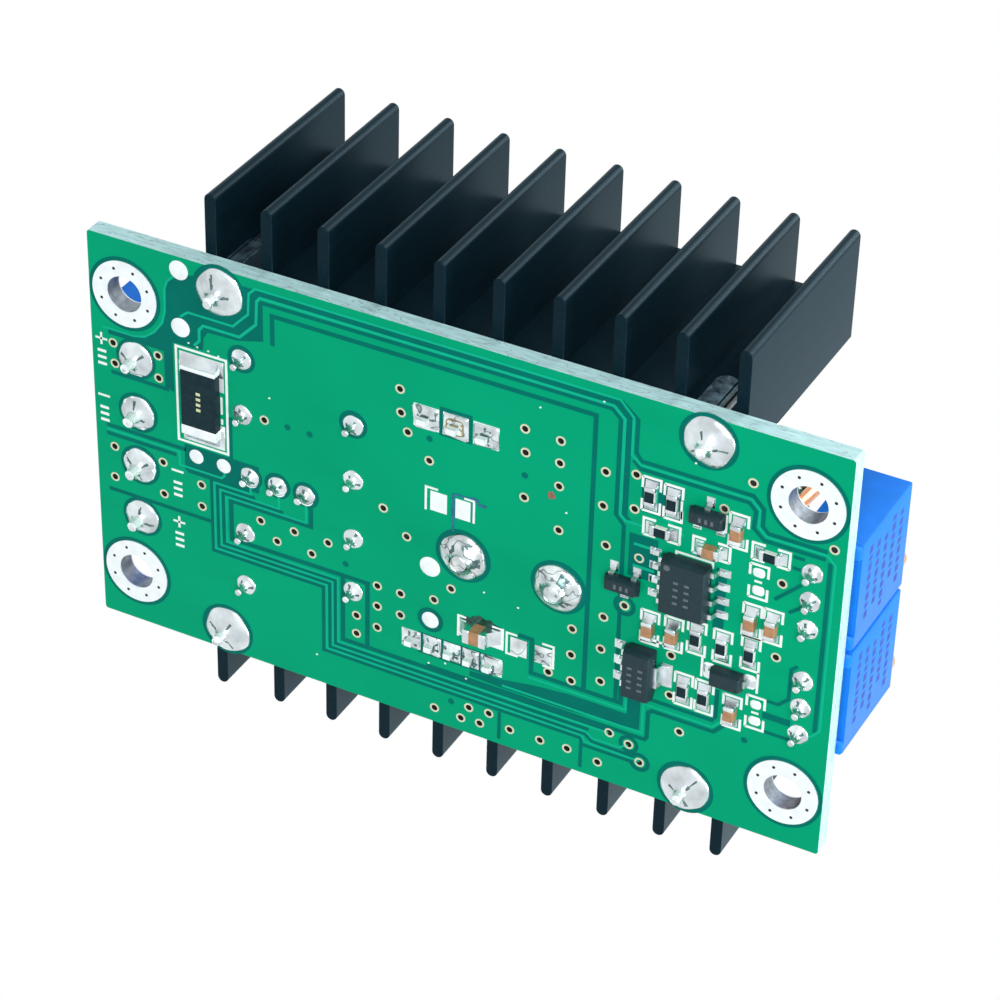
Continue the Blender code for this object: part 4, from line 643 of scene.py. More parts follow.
def solder(shape, centre, pad, core, depth, dome, seed, sides, lean):
    """A shallow dome of solder on its pad, with streaks of painted shade towards a cut lead that
    ends in a knob.
    """
    shape.paint, streak_count, width = THIN_JOINT if core < THICK_CORE else THICK_JOINT
    profile = [(core + share * (pad - core), UNDER - drop * dome) for share, drop in
               ((1, -0.1), (1, 0.06), (0.93, 0.14), (0.75, 0.25), (0.6, 0.31), (0.45, 0.38),
                (0.3, 0.47), (0.12, 0.62), (0, 0.8))]
    profile += [(core * share, UNDER - depth + core * rise) for share, rise in
                ((0.8, 1.1), (1, 0.6), (0.95, 0.25), (0.75, 0.06), (0.4, 0))]
    first_vert, first_face = len(shape.bm.verts), len(shape.bm.faces)
    shape.lathe(profile, centre, sides, 0.1, seed)
    shape.bm.verts.ensure_lookup_table()
    shape.bm.faces.ensure_lookup_table()
    for vert in shape.bm.verts[first_vert:]:
        drop = max(0, (UNDER - vert.co.z) / depth - 0.3)
        vert.co.x += lean[0] * drop
        vert.co.y += lean[1] * drop
    # Streaks of painted shade: faces between the core and each streak's reach, near its angle, take
    # the dark crease colour
    painted_streaks = [(seed * 1.7 + 2.2 * k, pad * (0.55 + 0.3 * abs(math.sin(seed + 2 * k))))
               for k in range(streak_count)]
    for face in shape.bm.faces[first_face:]:
        at = face.calc_center_median() - Vector((*centre, UNDER))
        radius, angle = math.hypot(at.x, at.y), math.atan2(at.y, at.x)
        for streak_angle, reach in painted_streaks:
            apart = abs(math.remainder(angle - streak_angle, math.tau)) * radius
            if core * 1.2 < radius < reach and apart < width and at.z > -0.7 * dome:
                face.material_index = 1


def square_joint(shape, corner, far, seed, stained=False):
    """Solder over a square pad round its cut flat lead, with four strips and a collar of painted
    shade, stain-coloured on the stained joint.
    """
    x, y = (corner[0] + far[0]) / 2, (corner[1] + far[1]) / 2
    rings = []
    for share, drop in ((0.98, -0.01), (0.98, 0.08), (0.86, 0.15), (0.66, 0.2), (0.46, 0.28),
                        (0.4, 0.3)):
        ring = []
        for a, b in rounded(corner, far, 0.3, 3):
            uneven = share * (1 + 0.18 * noise.noise(Vector((a * 2.1 + seed, b * 2.1, drop * 6))))
            ring.append((x + (a - x) * uneven, y + (b - y) * uneven, UNDER - drop))
        rings.append(ring)
    shape.paint = 3
    shape.skin(rings)
    shape.paint = 2 if stained else 1
    if stained:
        stain = [(x + (a - x) * 0.7, y + (b - y) * 0.7) for a, b in rounded(corner, far, 0.5, 3)]
        shape.prism(stain, UNDER - 0.24, UNDER - 0.1)
    # Four strips of painted shade running out from the lead, stain-coloured on the stained joint
    for turn in range(4):
        swing = 0.2 * turn * math.tau + 0.9 * math.sin(seed * 2.1 + turn)
        dx, dy = math.cos(swing), math.sin(swing)
        shape.ribbon([(x + 0.25 * dx, y + 0.25 * dy), (x + 0.72 * dx, y + 0.8 * dy)], 0.14,
                     UNDER - 0.27, UNDER - 0.08)
    # A collar of painted shade round the foot of the lead
    shape.box((x - 0.38, y - 0.27, UNDER - 0.5), (x + 0.38, y + 0.33, UNDER - 0.1), 0.05)
    shape.paint = 0
    shape.box((x - 0.33, y - 0.22, UNDER - 0.75), (x + 0.33, y + 0.28, UNDER - 0.1), 0.07)


# Joints: their places, radius of pad and core, depth, dome, lean and number of sides
JOINT_ROWS = [(SINK_PINS, 2.1, 0.42, 1.88, 1.3, (-0.1, 0.3), 56),
              (WINDING_ENDS, 2.05, 0.8, 1.3, 1.5, (0.2, -0.15), 56),
              (POLES, 1.55, 0.42, 1.75, 1, (-0.1, 0.2), 48),
              (CAPACITOR_LEADS, 0.9, 0.3, 1.35, 0.6, (0.1, 0.12), 32),
              (SMALL_LEADS, 0.88, 0.32, 1.35, 0.7, (-0.05, -0.1), 32),
              (TRIMMER_PINS, 0.87, 0.3, 1.35, 0.7, (0.1, 0.1), 32)]


def make_solder():
    """The joints under the board, each row with its own size and lean."""
    shape = Shape()
    for row, (centres, pad, core, depth, dome, lean, sides) in enumerate(JOINT_ROWS):
        for index, centre in enumerate(centres):
            swing = math.sin(2.3 * index + row)
            solder(shape, centre, pad, core, depth * (1 - 0.03 * abs(swing)), dome,
                   3.1 * index + row, sides, (lean[0] * swing, lean[1]))
    for index, (corner, far) in enumerate(SQUARE_PADS[:8]):
        square_joint(shape, corner, far, 2.7 * index, index == 1)
    low, high = below(PAD_LAYER)
    # The two pads beside the boost capacitor take the solder with veins of painted shade
    shape.paint = 3
    for corner, far in SQUARE_PADS[10:12]:
        shape.box((*corner, low - 0.03), (*far, high))
    shape.paint = 0
    for corner, far in SHUNT_PADS:
        shape.box((*corner, UNDER - 0.06), (*far, UNDER + 0.01), 0.02)
    for start, end in ((-8.75, -9.7), (-2.6, -1.75)):
        shape.prism([(start, UNDER), (start, UNDER - 0.76), ((start + end) / 2, UNDER - 0.35),
                     (end, UNDER - 0.04), (end, UNDER)], -23.75, -20.75, "x")
    shape.finish("solder_joints", [SOLDER, CREASE_SHADE, FLUXED, SOLDER_WITH_PAINTED_STREAKS], "tinned_metal", smooth=60)


# Wear, and painted shade beside the boost capacitor

# The first spots, along the boost capacitor's side, are burnt flux and painted shadow together
STAINS_AND_SHADE = [(FLUX_AND_SHADE, [((3.1, 6.75), 1.1, 0.35), ((4, 6.95), 0.7, 0.3), ((1.7, 7), 0.45, 0.25),
                  ((2.6, 7), 0.5, 0.35)]),
          (SMEAR, [((0.25, -3.2), 0.16, 1.35), ((0.25, -1.6), 0.12, 0.7), ((2.1, -4.5), 0.45, 0.2),
                   ((2.75, -4.15), 0.4, 0.14), ((2, -3.2), 0.1, 1), ((0.9, -4.45), 0.7, 0.12)]),
          (SMUDGE, [((8.6, -7.15), 0.3, 0.34)]),
          (INK, [((x, y), 0.09, 0.07) for x, y in
                 ((-1.7, 12.6), (-0.2, 12.1), (1.7, 12.9), (3.1, 3.9), (6.1, 4.3), (12.6, -16.9),
                  (7.4, -14.7), (-23.4, -10.7), (-22.6, -10.55), (-21.6, -10.5), (-20.7, -10.3),
                  (-16.1, -7.9), (20.2, -14), (9.9, -6), (28.4, -14.6), (-12, 15.6))])]


def make_stains_and_shade():
    """Flux partly painted as shade beside the boost capacitor, and smears and specks left on the
    solder side.
    """
    for index, (material, spots) in enumerate(STAINS_AND_SHADE):
        shape = Shape()
        for count, ((x, y), half_x, half_y) in enumerate(spots):
            ring = []
            for dx, dy in circle((0, 0), 1, 24):
                uneven = 1 + 0.5 * noise.noise(Vector((dx * 2 + count, dy * 2, index)))
                ring.append((x + dx * half_x * uneven, y + dy * half_y * uneven))
            shape.prism(ring, *below(STAIN_LAYER + LAYER_STEP * count))
        shape.finish("wear_and_shade_" + str(index + 1), [material], "laminate")


# Chip parts

def fillet(shape, start, end, half, height):
    """Solder sloping from a chip's end down to its pad."""
    section = [(start, UNDER), (start, UNDER - height * 0.8),
               ((start + end) / 2, UNDER - height * 0.32), (end, UNDER - 0.05), (end, UNDER)]
    shape.prism(section, -half, half, "y")


def make_small_chips():
    """Resistors and capacitors under the board: bodies, metal ends, pads and fillets."""
    ends, resistors, capacitors = Shape(), Shape(), Shape()
    for place, turn, ceramic in SMALL_CHIPS:
        for shape in (ends, resistors, capacitors):
            shape.move((*place, 0), turn)
        height = 0.82 if ceramic else 0.47
        bottom = UNDER - height
        if ceramic:
            capacitors.slab((-0.5, 0.5), 0.42, (bottom + 0.02, UNDER), 0.05)
        else:
            resistors.paint = 1
            resistors.slab((-0.5, 0.5), 0.41, (bottom + 0.05, UNDER), 0.02)
            resistors.paint = 0
            resistors.slab((-0.46, 0.46), 0.38, (bottom - 0.01, UNDER - 0.2), 0.03)
        for way in (-1, 1):
            ends.slab((way * 0.46, way * 0.83), 0.435, (bottom, UNDER), 0.06)
            ends.slab((way * 0.6, way * 1.3), 0.52, below(SKIN_LAYER))
            fillet(ends, way * 0.8, way * 1.25, 0.42, height)
    ends.finish("chip_ends", [SOLDER], "tinned_metal", smooth=40)
    resistors.finish("chip_resistors", [GLAZE, ALUMINA], "resistor_glaze")
    capacitors.finish("chip_capacitors", [CERAMIC], "ceramic")


# Moulded chips: place, body across, along and high, turn, pitch, rows, reach, lead width
MOULDED = {
    "controller_chip": ((20.3, -3.2), (3.9, 4.9, 1.45), 0, 1.27, (4, 4), 1.05, 0.42),
    "reference_chip": ((16.95, 6), (2.5, 4.5, 1.5), 0, 1.5, (3, 1), 0.9, 0.55),
    "steering_diode": ((24.1, 4.05), (2.7, 1.55, 1.1), 0, 1, (1, 1), 0.6, 0.6),
    "upper_transistor": ((21.6, -9.9), (1.3, 2.9, 1), 90, 1.9, (1, 2), 0.6, 0.45),
    "lower_transistor": ((15.05, -1.5), (1.3, 2.9, 1), 90, 1.9, (2, 1), 0.6, 0.45),
}


def make_moulded_chip(name, place, size, turn, pitch, rows, reach, lead):
    """A moulded chip: its bevelled body with plain marks, and its leads."""
    width, length, height = size
    parting, face = UNDER - height * 0.52, UNDER - height - 0.11
    body = Shape((*place, 0), turn)
    body.stack((-width / 2, -length / 2), (width / 2, length / 2), 0.1, 2,
               ((UNDER - 0.1, 0.14), (parting, 0), (face + 0.14, 0.13), (face, 0.19)))
    body.paint = 1
    if length > 2:
        columns, count, gap = ((-0.45, 0.45), 4, 0.62) if length > 4 else ((0,), 3, 0.5)
        for x in columns:
            for y in (gap * (step - 1.2) for step in range(count)):
                body.box((x - 0.2, y - 0.14, face - 0.006), (x + 0.2, y + 0.08, face + 0.02))
    if name == "controller_chip":
        body.lathe([(0.26, face + 0.02), (0.26, face - 0.006)], (-1.25, -1.9), 16)
    body.dress(name, [EPOXY, EPOXY_MARK], "moulded_epoxy")
    leads = Shape((*place, 0), turn)
    for way, count in zip((-1, 1), rows):
        half = 0.95 if name == "reference_chip" and way > 0 else lead / 2
        for index in range(count):
            add_lead(leads, way, (index - (count - 1) / 2) * pitch, half, width / 2, reach, parting)
    leads.finish(name + "_leads", [SOLDER], "tinned_metal")


def add_lead(leads, way, y, half, root, reach, parting):
    """One lead bent down to its pad, with solder at its toe."""
    foot, toe = UNDER - 0.06, root + reach
    bend = [(root - 0.1, parting - 0.09), (root + reach * 0.3, parting - 0.09),
            (root + reach * 0.52, foot - 0.16), (toe, foot - 0.16), (toe, foot),
            (root + reach * 0.36, foot), (root + reach * 0.2, parting + 0.09),
            (root - 0.1, parting + 0.09)]
    slope = [(toe - 0.05, UNDER), (toe - 0.05, foot - 0.15), (toe + 0.26, UNDER - 0.04),
             (toe + 0.26, UNDER)]
    for outline, wide in ((bend, half), (slope, half + 0.04)):
        leads.prism([(way * x, z) for x, z in outline], y - wide, y + wide, "y")
    leads.box((way * (toe - 0.62), y - half - 0.12, below(SKIN_LAYER)[0]),
              (way * (toe + 0.32), y + half + 0.12, UNDER))


# Places of the larger chip parts
BOOST_PLACE = (2.9, 7.75)
LAMPS = {"power_lamp": (24.6, -11.6), "charging_lamp": (22.6, 11.6), "limiting_lamp": (24.9, 11.6)}


def make_two_ended(name, place, turn, size, end, slot, surfaces, face=UNDER, way=-1):
    """A larger chip part: body between wrapped metal ends, on a face and going a way from it."""
    length, width, height = size
    shape = Shape((*place, 0), turn)
    reach = length / 2 - end * 0.8
    shape.slab((-reach, reach), width / 2 - 0.02, (face, face + way * (height + 0.08)), 0.05)
    shape.paint = 1
    for side in (-1, 1):
        shape.slab((side * (length / 2 - end), side * (length / 2 + 0.01)), width / 2 + 0.01,
                   (face, face + way * (height + 0.11)), 0.07)
    shape.dress(name, surfaces, slot)


def make_sense_resistor():
    """The shunt: a dark body between two metal ends, with a plain mark in four blocks."""
    shape = Shape()
    shape.box((-23.82, -8.62, UNDER - 0.78), (-20.65, -3.4, UNDER), 0.04)
    shape.paint = 1
    for near, far in ((-8.95, -8.6), (-3.42, -2.57)):
        shape.box((-23.85, near, UNDER - 0.81), (-20.62, far, UNDER), 0.05)
    shape.paint = 2
    for y in (-6.7, -6.2, -5.7, -5.2):
        shape.box((-22.4, y - 0.13, UNDER - 0.792), (-22, y + 0.13, UNDER - 0.7))
    shape.dress("sense_resistor", [GLAZE, TINNED, PALE_MARK], "resistor_glaze")


def make_boost_solder():
    """The solder that slopes up both ends of the boost capacitor."""
    wedges = Shape((*BOOST_PLACE, 0))
    for start, end in ((-0.95, -1.85), (0.95, 1.8)):
        fillet(wedges, start, end, 0.66, 1.15)
    wedges.finish("boost_capacitor_solder", [SOLDER], "tinned_metal")


def make_large_chips():
    """The sense resistor, the bulk ceramic capacitor and the lamps."""
    make_sense_resistor()
    make_two_ended("boost_capacitor", BOOST_PLACE, 0, (2.02, 1.27, 1.22), 0.62, "ceramic",
                   [CERAMIC, SOLDER])
    for name, place in LAMPS.items():
        make_two_ended(name, place, 90, (2, 1.25, 0.8), 0.35, "lamp_lens", [LENS, TINNED],
                       OVER, 1)
    make_boost_solder()


# Heatsinks and what they carry

FINNED_FACE, SINK_BASE, FIN_HEIGHT = 17.6, 3.5, 5.9
SINK_LENGTH = 20
FIN_PITCH, FIN_HALF, REAR_FIN_SHIFT = 5, 0.5, 0.5
PACKAGE_FRONT, PACKAGE_BACK, TAB_FRONT = 9.1, 12.2, 12.3
DEVICE_X, PACKAGE_LOW, PACKAGE_HIGH, DEVICE_SCREW_Z = 0.35, 6.1, 15.3, 18.4


def channel_outline(x):
    """The C-shaped pin channel in the finned face, from its left lip to its right."""
    axis, bore, boss = (x, -1.4), 0.9, 1.65
    lip = math.degrees(math.asin(0.5 / boss))
    throat = math.degrees(math.asin(0.5 / bore))
    root = math.degrees(math.acos(1.4 / boss))
    return (arc(axis, boss, 90 + root, 90 + lip, 4)
            + arc(axis, bore, 90 + throat, 450 - throat, 22)
            + arc(axis, boss, 90 - lip, 90 - root, 4))


def sink_outline(shift):
    """The extruded section with its finned face on y = 0 and the fins along +y.

    All the fins but the first stand a shift further along x.
    """
    outline = []
    for index in range(10):
        x = (index - 4.5) * FIN_PITCH + (shift if index else 0)
        outline.append((x - FIN_HALF, -SINK_BASE if index == 0 else 0))
        outline += arc((x, FIN_HEIGHT - FIN_HALF), FIN_HALF, 180, 0, 8)
        outline.append((x + FIN_HALF, -SINK_BASE if index == 9 else 0))
        if index == 0:
            outline += channel_outline(-CHANNEL_REACH)
        if index == 8:
            outline += channel_outline(CHANNEL_REACH)
    return outline


def make_heatsinks():
    """Two black finned extrusions with rounded fin tips and softened cut ends."""
    for name, turn, y, shift in (("heatsink_front", 180, -FINNED_FACE, 0),
                                 ("heatsink_rear", 0, FINNED_FACE, REAR_FIN_SHIFT)):
        shape = Shape((SINK_X, y, 0), turn)
        shape.prism(sink_outline(shift), SINK_LOW, SINK_LOW + SINK_LENGTH)
        cut = shape.bm.edges.layers.float.new("bevel_weight_edge")
        for edge in shape.bm.edges:
            near, far = edge.verts
            edge[cut] = float(abs(near.co.z - far.co.z) < 0.001)
        shape.dress(name, [ANODISED], "anodised_aluminium", soften=0.08, weighed=True)


def make_staked_ends():
    """Bright metal pressed over the front heatsink's channels."""
    stake = Shape()
    for left, right in ((-21.3, -20), (18.9, 20.7)):
        tongue = arc(((left + right) / 2, 7.6), (right - left) / 2, 0, 180, 10)
        stake.prism([(right, OVER + 0.3), *tongue, (left, OVER + 0.3)],
                    -FINNED_FACE - 0.12, -FINNED_FACE + 0.3, "y")
    stake.box((-19.95, -FINNED_FACE - 0.14, 4.5), (-19.75, -FINNED_FACE + 0.2, 6.9), 0.04)
    stake.finish("staked_channel_ends", [STAKED], "anodised_aluminium")


def make_sink_pins():
    """The heatsinks' four pins, drawn out to thin tips under the board."""
    for name, centre in zip(("front_left", "rear_left", "front_right", "rear_right"), SINK_PINS):
        shape = Shape()
        shape.lathe([(0.25, 0.06), (0.38, 0.16), (0.42, 0.5), (0.36, 0.9), (0.75, 1.85),
                     (0.75, OVER + 7.9), (0.6, OVER + 8)], centre, 24)
        shape.dress("heatsink_pin_" + name, [TINNED], "tinned_metal")


def make_package(name, side):
    """A power device's package with three rows of plain marks."""
    body = Shape((DEVICE_X, 0, 0))
    outline = [(-5, PACKAGE_BACK), (-5, 9.8), (-4.3, PACKAGE_FRONT), (4.3, PACKAGE_FRONT),
               (5, 9.8), (5, PACKAGE_BACK)]
    body.prism([(x, side * y) for x, y in outline], PACKAGE_LOW, PACKAGE_HIGH)
    body.paint = 1
    near, far = sorted((side * PACKAGE_FRONT, side * (PACKAGE_FRONT - 0.02)))
    for z in (12.2, 10.9, 9.6):
        for x in (-2.2, -1.1, 0, 1.1, 2.2):
            body.box((x - 0.38, near, z - 0.3), (x + 0.38, far + 0.001, z + 0.3))
    body.dress(name + "_package", [EPOXY, EPOXY_MARK], "moulded_epoxy", soften=0.12)


def make_device_leads(name, leads, thin, wide):
    """Flat leads, thin through the board and wide at the package."""
    metal = Shape()
    half = [(thin, 0.95), (thin, 4.9), (wide, 5.2), (wide, PACKAGE_LOW + 0.3)]
    for x, y in leads:
        metal.prism([(x + a, z) for a, z in half] + [(x - a, z) for a, z in reversed(half)],
                    y - 0.25, y + 0.25, "y")
    metal.finish(name + "_leads", [TINNED], "tinned_metal")


# The device screws from recess to tip: radius, height and, in the cross recess, its waist
SCREW_RINGS = [(0.3, 1.5), (0.85, 1.55, 0.3), (1.35, 2.6, 0.42), (1.45, 2.6), (1.95, 2.5),
               (2.3, 2.2), (2.48, 1.75), (2.5, 0.7), (1.3, 0.7), (1.3, -4.1)]


def screw_ring(radius, z, waist=None):
    """Thirty-two points round a screw, drawn in to a waist between the arms of a cross."""
    radii = [radius if waist is None or i % 8 in (7, 0, 1) else waist for i in range(32)]
    return [(r * x, r * y, z) for r, (x, y) in zip(radii, circle((0, 0), 1, 32))]


def make_device_screw(name, side):
    """The screw through a device's tab into its heatsink, and the washer under its head."""
    screw, washer = Shape(), Shape()
    screw.place = washer.place = (
        Matrix.Translation((DEVICE_X, side * (TAB_FRONT - 0.1), DEVICE_SCREW_Z))
        @ Matrix.Rotation(math.radians(90 * side), 4, "X"))
    screw.skin([screw_ring(*row) for row in SCREW_RINGS])
    screw.dress(name + "_screw", [ZINC], "zinc_steel")
    washer.flat_ring((0, 0), 1.45, 2.9, 0, 0.6, 40)
    washer.dress(name + "_washer", [ZINC], "zinc_steel", soften=0.06)


def make_power_devices():
    """The three-lead and the five-lead device on their heatsinks."""
    for name, side, leads, thin, wide in (("rectifier", -1, THREE_LEADS, 0.4, 0.65),
                                          ("regulator", 1, FIVE_LEADS, 0.3, 0.55)):
        make_package(name, side)
        make_device_leads(name, leads, thin, wide)
        make_device_screw(name, side)


# Inductor

CORE_PLACE = (14.2, 0)
TURNS, SWEEP = 24, 332      # turns of wire, and the degrees of the ring that they cover


def turn_section():
    """One turn round the core, from its outer foot: radius, height, share of the turn's length."""
    corners = rounded((6.35, 4.35), (12.1, 15.15), 0.8)
    points = corners[5:] + corners[:5]
    lengths = [math.dist(a, b) for a, b in zip(points, points[1:] + points[:1])]
    return [(*point, sum(lengths[:i]) / sum(lengths)) for i, point in enumerate(points)]


def make_core():
    """The painted ring core."""
    core = Shape()
    core.hoop(rounded((7, 5), (11.45, 14.5), 0.8, 3), CORE_PLACE, 72)
    core.dress("inductor_core", [CORE], "powder_core")


def make_winding():
    """A single layer of enamelled wire round the core, its ends down through the board."""
    (x, y), last = WINDING_ENDS
    start = math.atan2(y, x - CORE_PLACE[0])
    route = [(x, y, 0.7), (x, y, 3.5), (x + 0.02, y, 4.9)]
    section = turn_section()
    for turn in range(TURNS):
        for radius, z, share in section:
            angle = start + math.radians(SWEEP) * (turn + share) / TURNS
            if turn + share >= 0.12:
                route.append((CORE_PLACE[0] + radius * math.cos(angle),
                              radius * math.sin(angle), z))
    while route[-1][2] < 6:
        route.pop()
    route += [(9.3, 1.3, 4.6), (*last, 3.4), (*last, 0.7)]
    winding = Shape()
    winding.tube(route, 0.55)
    winding.dress("inductor_winding", [COPPER], "copper_wire", smooth=60)


# Capacitors

SLEEVE_RADIUS, CAN_TOP, SLEEVE_TOP = 5, OVER + 15.75, OVER + 16


def make_can(name, place):
    """An aluminium can with a scored vent."""
    can = Shape((*place, 0))
    can.lathe([(1, CAN_TOP - 0.02), (3.6, CAN_TOP), (4.45, CAN_TOP - 0.08),
               (4.75, CAN_TOP - 0.45), (4.75, OVER + 2.7), (4.45, OVER + 2.3), (4.4, OVER + 2.1),
               (4.45, OVER + 1.9), (4.75, OVER + 1.5), (4.7, OVER + 0.3), (4.3, OVER + 0.1)],
              sides=48)
    can.paint = 1
    for turn in range(3):
        angle = math.pi * turn / 3 + 0.3
        x, y = 2.7 * math.cos(angle), 2.7 * math.sin(angle)
        can.ribbon([(-x, -y), (x, y)], 0.16, CAN_TOP - 0.1, CAN_TOP + 0.012)
    can.dress(name + "_can", [CAN, ZINC], "can_aluminium")


def make_sleeve(name, place):
    """The can's shrunk sleeve, its minus stripe on the side away from its neighbours."""
    sleeve = Shape((*place, 0))
    outer, top = SLEEVE_RADIUS, SLEEVE_TOP
    sleeve.hoop([(outer - 0.05, OVER + 0.7), (outer, OVER + 1), (outer, OVER + 1.7),
                 (outer - 0.1, OVER + 2.1), (outer, OVER + 2.5), (outer, top - 0.5),
                 (outer - 0.12, top - 0.2), (outer - 0.42, top), (outer - 0.95, top),
                 (outer - 1, top - 0.1), (outer - 0.5, top - 0.16), (outer - 0.16, top - 0.55),
                 (outer - 0.16, OVER + 0.7)], sides=48)
    sleeve.paint = 1
    away = 180 if place[0] < -10 else 90 if place[1] > 0 else 270
    for row in range(4):
        base = OVER + 3.3 * row
        for start, end, low, high in ((-24, -14, 2.8, 5.6), (14, 24, 2.8, 5.6), (-5, 5, 3.9, 4.4)):
            section = [(outer - 0.035, base + low), (outer + 0.015, base + low),
                       (outer + 0.015, base + high), (outer - 0.035, base + high)]
            sleeve.skin([[(r * x, r * y, z) for r, z in section]
                         for x, y in arc((0, 0), 1, away + start, away + end, 12)])
    sleeve.dress(name + "_sleeve", [SLEEVE, SLEEVE_MARK], "capacitor_sleeve")


# Terminal block, trimmers and the small regulator

SLOT_WIDTH = 0.6
# Heights of the terminal screws at rest: under the head, and at the tip
SCREW_HEAD_LOW, SCREW_TIP = 12.25, 8.4


def slotted_head(shape, centre, radius, levels, turn):
    """A round head with a straight slot: a solid below the slot's floor and two halves above."""
    low, floor, crown = levels
    shape.lathe([(radius, low), (radius, floor)], centre, 40)
    edge = radius * 0.12
    for half in (turn, turn + 180):
        rings = []
        for z, r in ((floor - 0.02, radius), (crown - edge, radius), (crown, radius - edge)):
            gap = math.degrees(math.asin(SLOT_WIDTH / 2 / r))
            rings.append([(*point, z) for point in
                          arc(centre, r, half + gap, half + 180 - gap, 20)])
        shape.skin(rings)


def make_terminal_screws():
    """Four zinc screws, each riding its own pole."""
    low, tip = SCREW_HEAD_LOW, SCREW_TIP
    for index, centre in enumerate(POLES):
        shape = Shape()
        slotted_head(shape, centre, 1.85, (low, low + 0.7, low + 1.4), 20 + 55 * index)
        shape.lathe([(1.2, low + 0.01), (1.2, tip + 0.17), (1.03, tip)], centre, 28)
        label = str(index + 1)
        shape.dress("terminal_screw_" + label, [ZINC], "zinc_steel",
                    body="pole_" + label + "_screw")


# A trimmer's two faces along x, half its length along y, and its top
TRIMMER_NEAR, TRIMMER_FAR, TRIMMER_HALF, TRIMMER_TOP = 28.12, 32.95, 4.765, OVER + 10.03


def make_trimmer_case(name, y):
    """A many-turn trimmer's sealed case with generic print."""
    low, start, end = OVER + 0.1, y - TRIMMER_HALF, y + TRIMMER_HALF
    case = Shape()
    case.stack((TRIMMER_NEAR, start), (TRIMMER_FAR, end), 0.13, 2,
               ((low + 0.4, 0), (TRIMMER_TOP - 0.12, 0), (TRIMMER_TOP, 0.12)))
    for near, far in ((start + 0.02, start + 1.3), (end - 1.3, end - 0.02)):
        case.box((TRIMMER_NEAR + 0.02, near, low), (TRIMMER_FAR - 0.02, far, low + 0.6), 0.15)
    case.paint = 1
    for row in range(5):
        z, at = OVER + 2.3 + 1.5 * row, y - 3.7 + 0.4 * (row % 3)
        for step in range(8 - row % 2):
            reach = 0.35 + 0.3 * abs(math.sin(3.7 * row + 1.9 * step + y))
            case.box((TRIMMER_FAR - 0.02, at, z - 0.28),
                     (TRIMMER_FAR + 0.012, at + reach, z + 0.28))
            at += reach + 0.32
    case.dress(name + "_trimmer_case", [BLUE, BLUE_MARK], "blue_plastic")


def make_trimmer_screw(name, y, turn):
    """A trimmer's brass adjusting screw."""
    screw, top = Shape(), TRIMMER_TOP + 1.5
    slotted_head(screw, (31.55, y + 3.365), 1.1, (top - 2.6, top - 0.7, top), turn)
    screw.dress(name + "_trimmer_screw", [BRASS], "brass_screw", body=name + "_trimmer")


def make_small_regulator():
    """A round-backed three-lead package."""
    place, low = SMALL_LEADS[1], OVER + 3
    flat = math.degrees(math.acos(1.2 / 2.3))
    body = Shape()
    body.prism(arc(place, 2.3, flat - 90, 270 - flat, 24), low, low + 4.6)
    body.dress("bias_regulator", [EPOXY], "moulded_epoxy", soften=0.12)
    leads = Shape((*place, 0))
    for near, far in ((-1.27, -2.54), (0, 0), (1.27, 2.54)):
        leads.tube([(far, 0, 0.9), (far, 0, OVER + 1.05), ((near + far) / 2, 0, OVER + 1.7),
                    (near, 0, OVER + 2.4), (near, 0, low + 0.3)], 0.25, 10)
    leads.finish("bias_regulator_leads", [TINNED], "tinned_metal")


def dress_kept_nodes():
    """Gives the solids that stay as packed their own finishes."""
    dress = {"rectifier_tab": TINNED, "regulator_tab": TINNED, "rectifier_insulator": PAD,
             "regulator_insulator": PAD, "terminal_housing": BLUE}
    for index in range(1, 5):
        dress["terminal_clamp_%d" % index] = TINNED
        dress["terminal_leaf_%d" % index] = TINNED
    for name, material in dress.items():
        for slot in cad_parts[name].material_slots:
            slot.material = material


# Stage, light and camera

def area_light(name, place, aim, size, power):
    """A soft lamp that the camera doesn't see as a panel."""
    data = bpy.data.lights.new(name, "AREA")
    data.shape = "DISK"
    data.size = size
    data.energy = power
    lamp = add_object(name, data)
    lamp.location = place
    lamp.rotation_euler = (Vector(aim) - Vector(place)).to_track_quat("-Z", "Y").to_euler()
    lamp.visible_camera = False


def make_world():
    """White behind the part and in its reflections, softer light on its surfaces."""
    world = bpy.data.worlds.new("studio")
    world.use_nodes = True
    tree = world.node_tree
    tree.nodes.clear()
    path = add_node(tree, "ShaderNodeLightPath")
    mirrored, seen = add_node(tree, "ShaderNodeMath"), add_node(tree, "ShaderNodeMath")
    mirrored.operation = seen.operation = "MAXIMUM"
    wire(tree, path, "Is Glossy Ray", mirrored, 0)
    wire(tree, path, "Is Transmission Ray", mirrored, 1)
    wire(tree, path, "Is Camera Ray", seen, 0)
    wire(tree, mirrored, 0, seen, 1)
    soft = add_node(tree, "ShaderNodeBackground", Color=(0.93, 0.97, 1, 1), Strength=0.45)
    white = add_node(tree, "ShaderNodeBackground", Color=(1, 1, 1, 1), Strength=1)
    mix = add_node(tree, "ShaderNodeMixShader")
    wire(tree, seen, 0, mix, "Fac")
    wire(tree, soft, 0, mix, 1)
    wire(tree, white, 0, mix, 2)
    wire(tree, mix, 0, add_node(tree, "ShaderNodeOutputWorld"), "Surface")
    bpy.context.scene.world = world


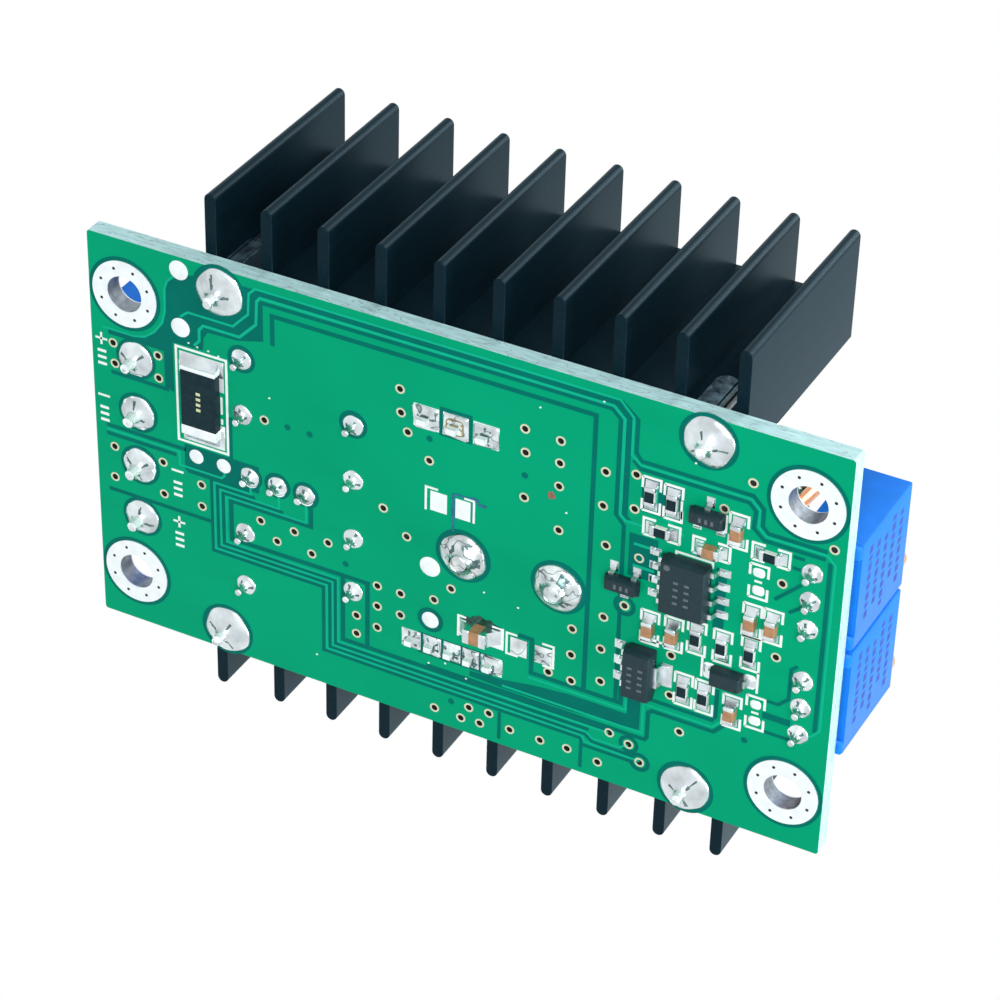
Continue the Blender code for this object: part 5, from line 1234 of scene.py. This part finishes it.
def make_floor():
    """A pale floor seen only from above."""
    bm = bmesh.new()
    bmesh.ops.create_grid(bm, x_segments=1, y_segments=1, size=0.6)
    mesh = bpy.data.meshes.new("floor")
    bm.to_mesh(mesh)
    bm.free()
    made = bpy.data.materials.new("floor_white")
    made.use_nodes = True
    tree = made.node_tree
    shader = fill(tree.nodes["Principled BSDF"],
                  {"Base Color": (0.9, 0.9, 0.9, 1), "Roughness": 0.8})
    mix = add_node(tree, "ShaderNodeMixShader")
    wire(tree, add_node(tree, "ShaderNodeNewGeometry"), "Backfacing", mix, "Fac")
    wire(tree, shader, 0, mix, 1)
    wire(tree, add_node(tree, "ShaderNodeBsdfTransparent"), 0, mix, 2)
    wire(tree, mix, 0, tree.nodes["Material Output"], "Surface")
    mesh.materials.append(made)
    floor = add_object("floor", mesh)
    floor.location = (0, 0, -0.0004)
    floor.visible_shadow = floor.visible_diffuse = floor.visible_glossy = False


# The solved camera: lens in millimetres, place in metres, and the rows of its turn
PHOTO_LENS, PHOTO_PLACE = 124.24, (0.101488, -0.155032, -0.190855)
PHOTO_TURN = ((0.88509, -0.28228, 0.37004), (-0.02360, -0.82127, -0.57006),
              (0.46481, 0.49582, -0.73356))


def make_camera():
    """The photograph's view, from below and to the front right of the board."""
    data = bpy.data.cameras.new("photo_camera")
    data.lens = PHOTO_LENS
    data.sensor_width = 36
    data.clip_start = 0.01
    camera = add_object("photo_camera", data)
    turn = Matrix(PHOTO_TURN).normalized().to_4x4()
    camera.matrix_world = Matrix.Translation(PHOTO_PLACE) @ turn
    bpy.context.scene.camera = camera


# Lamps: name, place, height of the point that they face, size and power
LIGHTS = [("key", (0.25, -0.30, -0.45), 0.005, 0.30, 2.8),
          ("side", (0.50, 0.05, -0.05), 0.01, 0.25, 1.5),
          ("top", (0.13, -0.08, 0.55), 0.01, 0.35, 4),
          ("back", (-0.35, 0.35, 0.30), 0.01, 0.30, 2)]


def main():
    make_board_plate()
    make_board_pattern()
    make_print()
    make_pads()
    make_solder()
    make_stains_and_shade()
    make_small_chips()
    for name, row in MOULDED.items():
        make_moulded_chip(name, *row)
    make_large_chips()
    make_heatsinks()
    make_staked_ends()
    make_sink_pins()
    make_power_devices()
    make_core()
    make_winding()
    for name, place in CAPACITORS.items():
        make_can(name, place)
        make_sleeve(name, place)
    make_terminal_screws()
    for name, (y, turn) in TRIMMERS.items():
        make_trimmer_case(name, y)
        make_trimmer_screw(name, y, turn)
    make_small_regulator()
    dress_kept_nodes()
    make_world()
    make_floor()
    make_camera()
    for name, place, height, size, power in LIGHTS:
        area_light(name, place, (0, 0, height), size, power)


main()
bpy.context.scene.view_settings.view_transform = "Standard"
